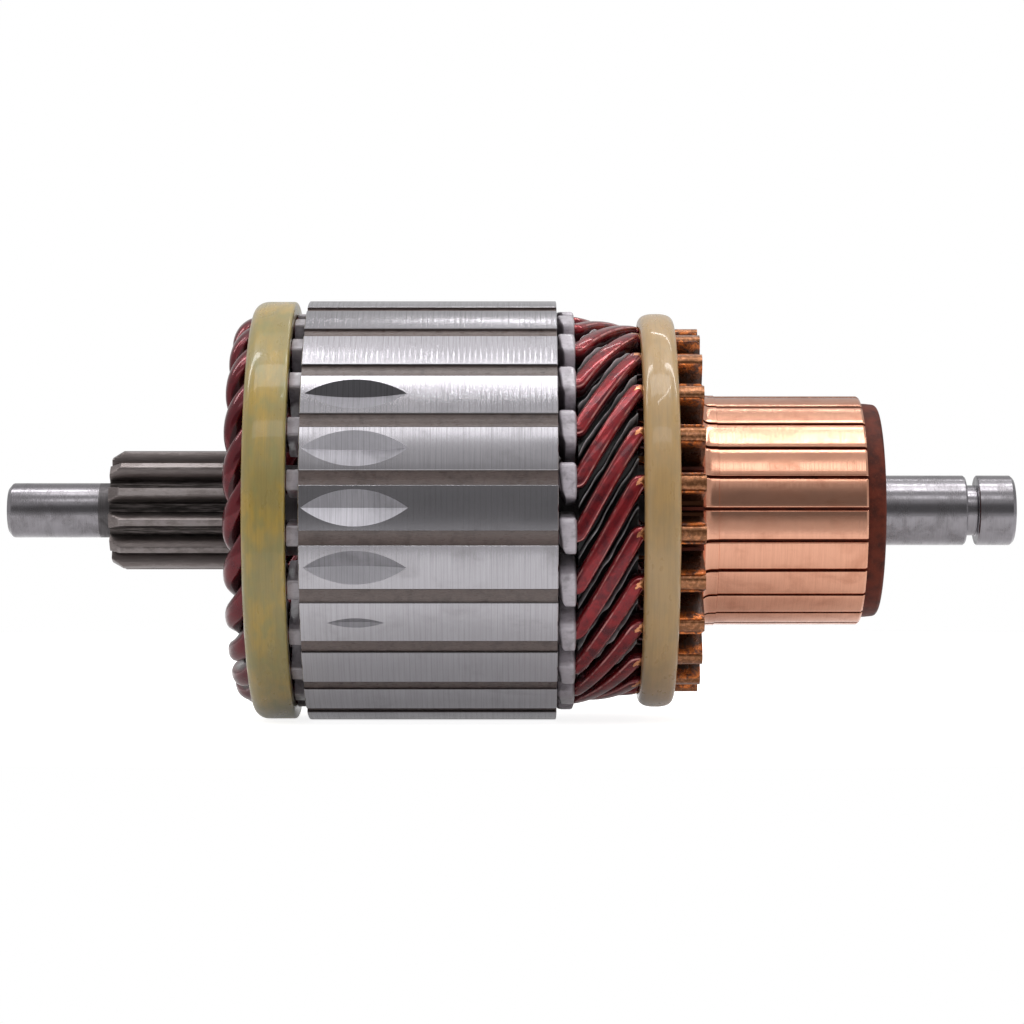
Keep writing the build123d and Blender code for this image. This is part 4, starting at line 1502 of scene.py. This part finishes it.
@dataclass
class Bandings:
    """The two bands of resin and glass that hold the winding's ends in."""

    layout: Layout
    finishes: Finishes
    drive_start: float = -36.5
    drive_end: float = -30.5
    drive_radius: float = 29.9
    drive_bore: float = 27.92
    drive_shoulder: float = 2.0
    commutator_start: float = 18.1
    commutator_end: float = 23.1
    commutator_radius: float = 28.2
    commutator_bore: float = 26.42
    sway: float = 0.05

    def drive_profile(self) -> np.ndarray:
        """Flat outside with a wide shoulder at the noses' side and a small round at the core's.

        Returns:
            Points of (x, radius).
        """
        shoulder = corner_arc((self.drive_start + self.drive_shoulder, 0.0), 1.0, 180, 90, 12)
        forward = shoulder[:, 0] - self.drive_start - self.drive_shoulder
        shoulder[:, 0] = self.drive_start + self.drive_shoulder * (1 + forward)
        shoulder[:, 1] = self.drive_radius - 1.6 * (1 - shoulder[:, 1])
        small = corner_arc((self.drive_end - 0.45, self.drive_radius - 0.45), 0.45, 90, 0, 6)
        start, end, radius, bore = self.drive_start, self.drive_end, self.drive_radius, self.drive_bore
        crown = [[start + 3.2, radius], [end - 1.6, radius]]
        return np.array([*shoulder, *crown, *small, [end, bore], [start, bore], shoulder[0]])

    def commutator_profile(self) -> np.ndarray:
        """An almost half-round outside over a flat bore.

        Returns:
            Points of (x, radius).
        """
        angle = np.radians(np.linspace(180, 0, 25))
        middle = (self.commutator_start + self.commutator_end) / 2
        half = (self.commutator_end - self.commutator_start) / 2
        foot = self.commutator_bore + 0.1
        rise = self.commutator_radius - self.commutator_bore - 0.1
        bow = np.sign(np.cos(angle)) * np.abs(np.cos(angle)) ** 0.75
        crown = np.stack([middle + half * bow, foot + rise * np.sin(angle) ** 0.7], axis=-1)
        ends = [[end, self.commutator_bore] for end in (self.commutator_end, self.commutator_start)]
        return np.array([*crown, *ends, crown[0]])

    def make(self) -> None:
        """Makes both bands."""
        for name, profile, finish, slot, node, seed in (
            ("drive_end_banding", self.drive_profile(), self.finishes.drive_band,
             "drive_banding", "drive_end_band", 3),
            ("commutator_end_banding", self.commutator_profile(), self.finishes.commutator_band,
             "commutator_banding", "commutator_end_band", 4),
        ):
            surface = Surface()
            surface.turned(profile, 240, sway=self.sway, seed=seed)
            place(surface.make(name, [finish], 40.0), slot, node)


@dataclass
class Commutator:
    """Copper bars with their necks and risers, and the moulding that holds them."""

    layout: Layout
    finishes: Finishes
    track_radius: float = 16.4
    bar_gap: float = 0.45
    bar_round: float = 0.14
    foot_radius: float = 10.5
    neck_flare: float = 1.6
    step_place: float = 28.9
    step_rise: float = 0.10
    riser_half: float = 1.45
    riser_slot_half: float = 1.1
    riser_outer: float = 25.6
    riser_floor: float = 20.4
    riser_soft: float = 0.26
    end_bevel: float = 0.6
    fin_top: float = 20.6
    undercut: float = 0.7
    ring_radius: float = 15.2
    back_radius: float = 15.0

    def bar_rows(self) -> np.ndarray:
        """Place and top radius of the bar's rings, from the riser's back down the neck to the track's end.

        Returns:
            Points of (x, radius).
        """
        lay = self.layout
        high = self.track_radius + self.neck_flare
        fillet = corner_arc((lay.riser_end + self.neck_flare, high), self.neck_flare, 180, 270, 9)
        fillet[:, 1] += self.step_rise * np.linspace(0, 1, 9)
        return np.array([
            [lay.riser_start, high], *fillet, [self.step_place, self.track_radius + self.step_rise],
            [self.step_place + 0.06, self.track_radius], [lay.track_end - 0.35, self.track_radius],
            [lay.track_end - 0.05, self.track_radius - 0.22], [lay.track_end, self.track_radius - 0.35],
        ])

    def bar_body(self, surface: Surface, angle: float) -> None:
        """Adds the wedge under the riser and the track, its sides parallel to the gaps beside it.

        Args:
            surface: Where it is added.
            angle: Its angle round the shaft, in degrees.
        """
        lay = self.layout
        half_pitch = math.radians(lay.pitch / 2)
        slope, gap = math.tan(half_pitch), self.bar_gap / 2 / math.cos(half_pitch)
        rows, low, edge = self.bar_rows(), self.foot_radius, self.bar_round
        share = np.array([0.0, *np.linspace(0.3, 1, 3)])
        sides = []
        for place_x, top in rows:
            heights = low + (top - edge - low) * share
            top_half = (top - edge) * slope - gap
            round_corner = corner_arc((top_half - edge, 0.0), edge, 0, 90, 4)[1:]
            crown = np.linspace(top_half - edge, 0, 4)[1:]
            half = list(zip(heights, heights * slope - gap))
            half += [(top - edge + c[1] - (c[0] ** 2) / 2 / top, c[0]) for c in round_corner]
            half += [(top - c * c / 2 / top, c) for c in crown]
            full = np.array(half + [(h, -w) for h, w in half[-2::-1]])
            sides.append(upright(np.full(len(full), place_x), full[:, 0], full[:, 1], angle))
        sheet = np.stack(sides)
        height = np.linalg.norm(sheet[..., 1:], axis=-1)
        # Painted shade down the bar's sides into the gaps, full over the rows under the riser; the end faces
        # below get painted shade too.
        tone = np.clip((rows[:, 1:] - 0.25 - height) / 0.4, 0, 1)
        tone[:2] = 1.0
        surface.grid(sheet, wrap=(False, True), turn=Turn.PLAIN, tone=tone)
        surface.flat(sheet[0], Turn.PLAIN, tone=1.0)
        surface.flat(sheet[-1], Turn.REVERSED, tone=0.2)

    def riser(self, surface: Surface, angle: float, seed: int) -> None:
        """Adds the riser: a plate with an open slot for the two wires, bevelled at its outer right edge.

        Args:
            surface: Where it is added.
            angle: Its angle round the shaft, in degrees.
            seed: Which small unevenness it has.
        """
        lay = self.layout
        draw = np.random.default_rng(seed).uniform(-1, 1, 3)
        half, slot_half = self.riser_half + 0.05 * draw[0], self.riser_slot_half
        low, top, bottom = self.track_radius, self.riser_outer + 0.08 * draw[1], self.riser_floor
        soft, bevel = self.riser_soft, self.end_bevel
        start, end = lay.riser_start, lay.riser_end
        x = [start, start + soft, end - bevel, end - 0.25 * bevel, end]
        inset = [soft, 0.0, 0.0, 0.10, 0.22]
        crop = [soft, 0.0, 0.0, 0.42 * bevel, bevel]
        rings = []
        for place_x, draw_in, cut in zip(x, inset, crop):
            wide, high = half - draw_in, top - cut
            right = [
                (low, wide), (low + 3.0, wide), (high - 1.6, wide), (high - 0.6, wide), (high - soft, wide),
                (high - 0.05, 0.8 * wide + 0.2 * slot_half), (high, (wide + slot_half) / 2),
                (high - 0.08, slot_half), (bottom, slot_half),
            ]
            ring = np.array(right + [(h, -w) for h, w in right[::-1]])
            rings.append(upright(np.full(len(ring), place_x), ring[:, 0], ring[:, 1], angle))
        sheet = np.stack(rings)
        height = np.linalg.norm(sheet[..., 1:], axis=-1)
        # Painted shade, growing down from the riser's top towards the gaps.
        tone = np.clip((top - 0.5 - height) / 0.9, 0, 0.9)
        surface.grid(sheet, wrap=(False, True), turn=Turn.PLAIN, slot=1, tone=tone)
        foot_and_prongs = ([0, 1, 8, 9, 16, 17], list(range(1, 9)), list(range(9, 17)))
        for part in foot_and_prongs:
            surface.flat(sheet[0][part], Turn.PLAIN, slot=1)
            surface.flat(sheet[-1][part], Turn.REVERSED, slot=1)

    def moulding_profile(self) -> np.ndarray:
        """Outline of the turned parts: back flange, hub and the rounded ring at the track's end.

        Returns:
            Points of (x, radius).
        """
        lay = self.layout
        ring = corner_arc((lay.moulding_end - 0.7, self.ring_radius - 0.7), 0.7, 90, 0, 6)
        bore = lay.body_radius
        return np.array([
            [lay.moulding_start, bore],
            [lay.moulding_start, self.back_radius - 0.3],
            [lay.moulding_start + 0.3, self.back_radius],
            [lay.riser_start - 0.02, self.back_radius],
            [lay.riser_start - 0.01, self.foot_radius],
            [lay.track_end, self.foot_radius],
            [lay.track_end + 0.02, self.ring_radius + 0.12],
            [lay.track_end + 0.9, self.ring_radius + 0.10],
            *ring.tolist(),
            [lay.moulding_end, self.ring_radius - 3.2],
            [lay.moulding_end - 0.5, self.ring_radius - 3.9],
            [lay.moulding_end - 0.5, bore + 1.2],
            [lay.moulding_end, bore + 0.5],
            [lay.moulding_end, bore],
            [lay.moulding_start, bore],
        ])

    def fin(self, surface: Surface, angle: float, top: float, span: Pair, half: float) -> None:
        """Adds the moulding's fin in one gap, a plate with a slightly hollow top.

        Args:
            surface: Where it is added.
            angle: The gap's angle.
            top: Height of the fin.
            span: Its two ends.
            half: Half its thickness.
        """
        foot = self.foot_radius - 0.5
        path = np.array([[foot, half], [top, half], [top - 0.04, 0.0], [top, -half], [foot, -half]])
        x = np.array([[span[0]], [span[1]]])
        sheet = upright(x, path[:, 0], path[:, 1], angle)
        surface.grid(sheet, wrap=(False, True), turn=Turn.PLAIN)
        surface.flat(sheet[0], Turn.PLAIN)
        surface.flat(sheet[-1], Turn.REVERSED)

    def make(self) -> None:
        """Makes the bars and the moulding."""
        lay = self.layout
        for number in range(lay.slot_count):
            surface = Surface()
            self.bar_body(surface, lay.slot_angle(number))
            self.riser(surface, lay.slot_angle(number), number + 80)
            piece = surface.make(f"bar_{number + 1:02d}", [self.finishes.track, self.finishes.riser], 30.0)
            place(piece, "commutator_copper", f"commutator_bar_{number + 1:02d}")
        surface = Surface()
        surface.turned(self.moulding_profile(), 160)
        for number in range(lay.slot_count):
            gap = lay.slot_angle(number + 0.5)
            self.fin(surface, gap, self.track_radius - self.undercut, (lay.riser_start, lay.track_end + 0.1),
                     self.bar_gap / 2)
            self.fin(surface, gap, self.fin_top, (lay.riser_start, lay.riser_end), self.bar_gap / 2)
        place(surface.make("moulding", [self.finishes.resin], 35.0), "moulded_resin", "commutator_moulding")


@dataclass
class Studio:
    """The pale floor, the soft lamps and the camera of the photograph's view."""

    floor_height: float = -30.0
    floor_reach: float = 0.34
    floor_front: float = 0.088
    floor_back: float = 0.34
    floor_glow: float = 0.86
    floor_gloss_share: float = 0.30
    distance: float = 462.0
    camera_x: float = 0.13
    camera_z: float = -0.24
    lens: float = 113.0
    ambient: float = 0.60
    open_level: float = 0.60
    dark_lift: float = 6.5
    dark_near: float = 0.22
    dark_far: float = 0.35
    dark_level: float = 0.19
    dark_squash: Triple = (0.30, 1.0, 1.0)
    lamps: tuple[tuple[str, Triple, Pair, float], ...] = (
        ("front_box", (0.0, -0.13, 0.55), (0.5, 0.15), 2.8),
        ("back_box", (0.0, 0.09, 0.55), (0.6, 0.24), 0.6),
        ("low_box", (0.0, -0.45, 0.43), (0.6, 0.10), 1.6),
        ("left_strip", (-0.31, 0.05, 0.50), (0.05, 0.49), 9.0),
        ("right_strip", (0.30, 0.05, 0.50), (0.05, 0.49), 9.0),
        ("near_strip", (0.125, -0.19, 0.55), (0.34, 0.012), 10.0),
        ("far_strip", (0.125, 0.30, 0.52), (0.34, 0.014), 11.0),
    )

    def floor(self) -> None:
        """Makes the floor, which stays white to the camera but keeps the shadow."""
        angle = np.linspace(0, 2 * math.pi, 96, endpoint=False)
        middle = (self.floor_back - self.floor_front) / 2
        half = (self.floor_back + self.floor_front) / 2
        rim = np.stack([self.floor_reach * np.cos(angle), middle + half * np.sin(angle),
                        np.full_like(angle, self.floor_height * MM)], axis=-1)
        mesh = bpy.data.meshes.new("floor")
        mesh.from_pydata(rim.tolist(), [], [list(range(len(angle)))])
        board = bpy.data.objects.new("floor", mesh)
        bpy.context.scene.collection.objects.link(board)
        r = Recipe("floor_white")
        grain = r.noise(r.place(), 0.05, 3.0)
        base = r.mix(r.span(grain, 0.3, 0.7, 0.0, 0.02), (0.68, 0.68, 0.68), (0.65, 0.65, 0.65))
        seen = r.seen(r.node("ShaderNodeLightPath"), self.floor_gloss_share)
        mesh.materials.append(r.dress(
            base_color=base, roughness=0.9, emission_color=(1.0, 1.0, 1.0),
            emission_strength=r.sum("MULTIPLY", seen, self.floor_glow),
        ))

    def lamp(self, name: str, where: Triple, size: Pair, radiance: float) -> None:
        """Adds a soft box that faces the armature.

        Args:
            name: The lamp's name.
            where: Its place in metres.
            size: Its width and depth in metres.
            radiance: Brightness of its surface; its power is that times pi times its area.
        """
        data = bpy.data.lights.new(name, "AREA")
        data.shape = "RECTANGLE"
        data.size, data.size_y = size
        data.energy = radiance * math.pi * size[0] * size[1]
        lamp = bpy.data.objects.new(name, data)
        lamp.location = where
        lamp.rotation_euler = (-Vector(where)).to_track_quat("-Z", "Y").to_euler()
        bpy.context.scene.collection.objects.link(lamp)

    def world(self) -> None:
        """A white surround that lights softly, with the dim side of the room that a camera stands in."""
        world = bpy.data.worlds.new("studio")
        bpy.context.scene.world = world
        world.use_nodes = True
        graph = Graph(world.node_tree)
        path = graph.node("ShaderNodeLightPath")
        lift = math.radians(self.dark_lift)
        centre = (0.0, -math.cos(lift), math.sin(lift))
        vector = graph.node("ShaderNodeTexCoord").outputs["Generated"]
        for operation, value in (("SUBTRACT", centre), ("MULTIPLY", self.dark_squash)):
            vector = graph.node("ShaderNodeVectorMath", {0: vector, 1: value}, operation=operation).outputs[0]
        length = graph.node("ShaderNodeVectorMath", {0: vector}, operation="LENGTH").outputs["Value"]
        fade = graph.span(length, self.dark_near, self.dark_far, self.dark_level, self.open_level)
        seen = graph.seen(path, fade)
        diffuse = graph.sum("MULTIPLY", path.outputs["Is Diffuse Ray"], self.ambient)
        background = graph.tree.nodes["Background"]
        graph.feed(background.inputs["Color"], (1.0, 1.0, 1.0))
        graph.feed(background.inputs["Strength"], graph.sum("ADD", seen, diffuse))

    def camera(self) -> None:
        """Sets the camera square to the shaft, level with its axis."""
        data = bpy.data.cameras.new("camera")
        data.sensor_width = 36.0
        data.lens = self.lens
        data.dof.use_dof = False
        data.clip_start = 0.01
        camera = bpy.data.objects.new("camera", data)
        camera.location = (self.camera_x * MM, -self.distance * MM, self.camera_z * MM)
        camera.rotation_euler = (math.pi / 2, 0.0, 0.0)
        bpy.context.scene.collection.objects.link(camera)
        bpy.context.scene.camera = camera

    def make(self) -> None:
        """Sets up the whole studio."""
        bpy.context.scene.view_settings.view_transform = "Standard"
        self.camera()
        self.world()
        self.floor()
        for lamp in self.lamps:
            self.lamp(*lamp)


def main() -> None:
    """Builds the armature's sub-assemblies in order."""
    logging.basicConfig(level=logging.INFO, format="%(name)s %(message)s")
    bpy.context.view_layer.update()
    layout = Layout()
    finishes = Finishes.mix()
    Studio().make()
    Shaft(layout, finishes).make()
    Core(layout, finishes).make()
    winding = Winding(layout, finishes)
    winding.make()
    run_turn = math.degrees(winding.run_travel / layout.top_radius)
    Insulation(layout, finishes).make(winding.run_start, winding.nose_start, run_turn)
    Bandings(layout, finishes).make()
    Commutator(layout, finishes).make()


if __name__ == "__main__":
    main()
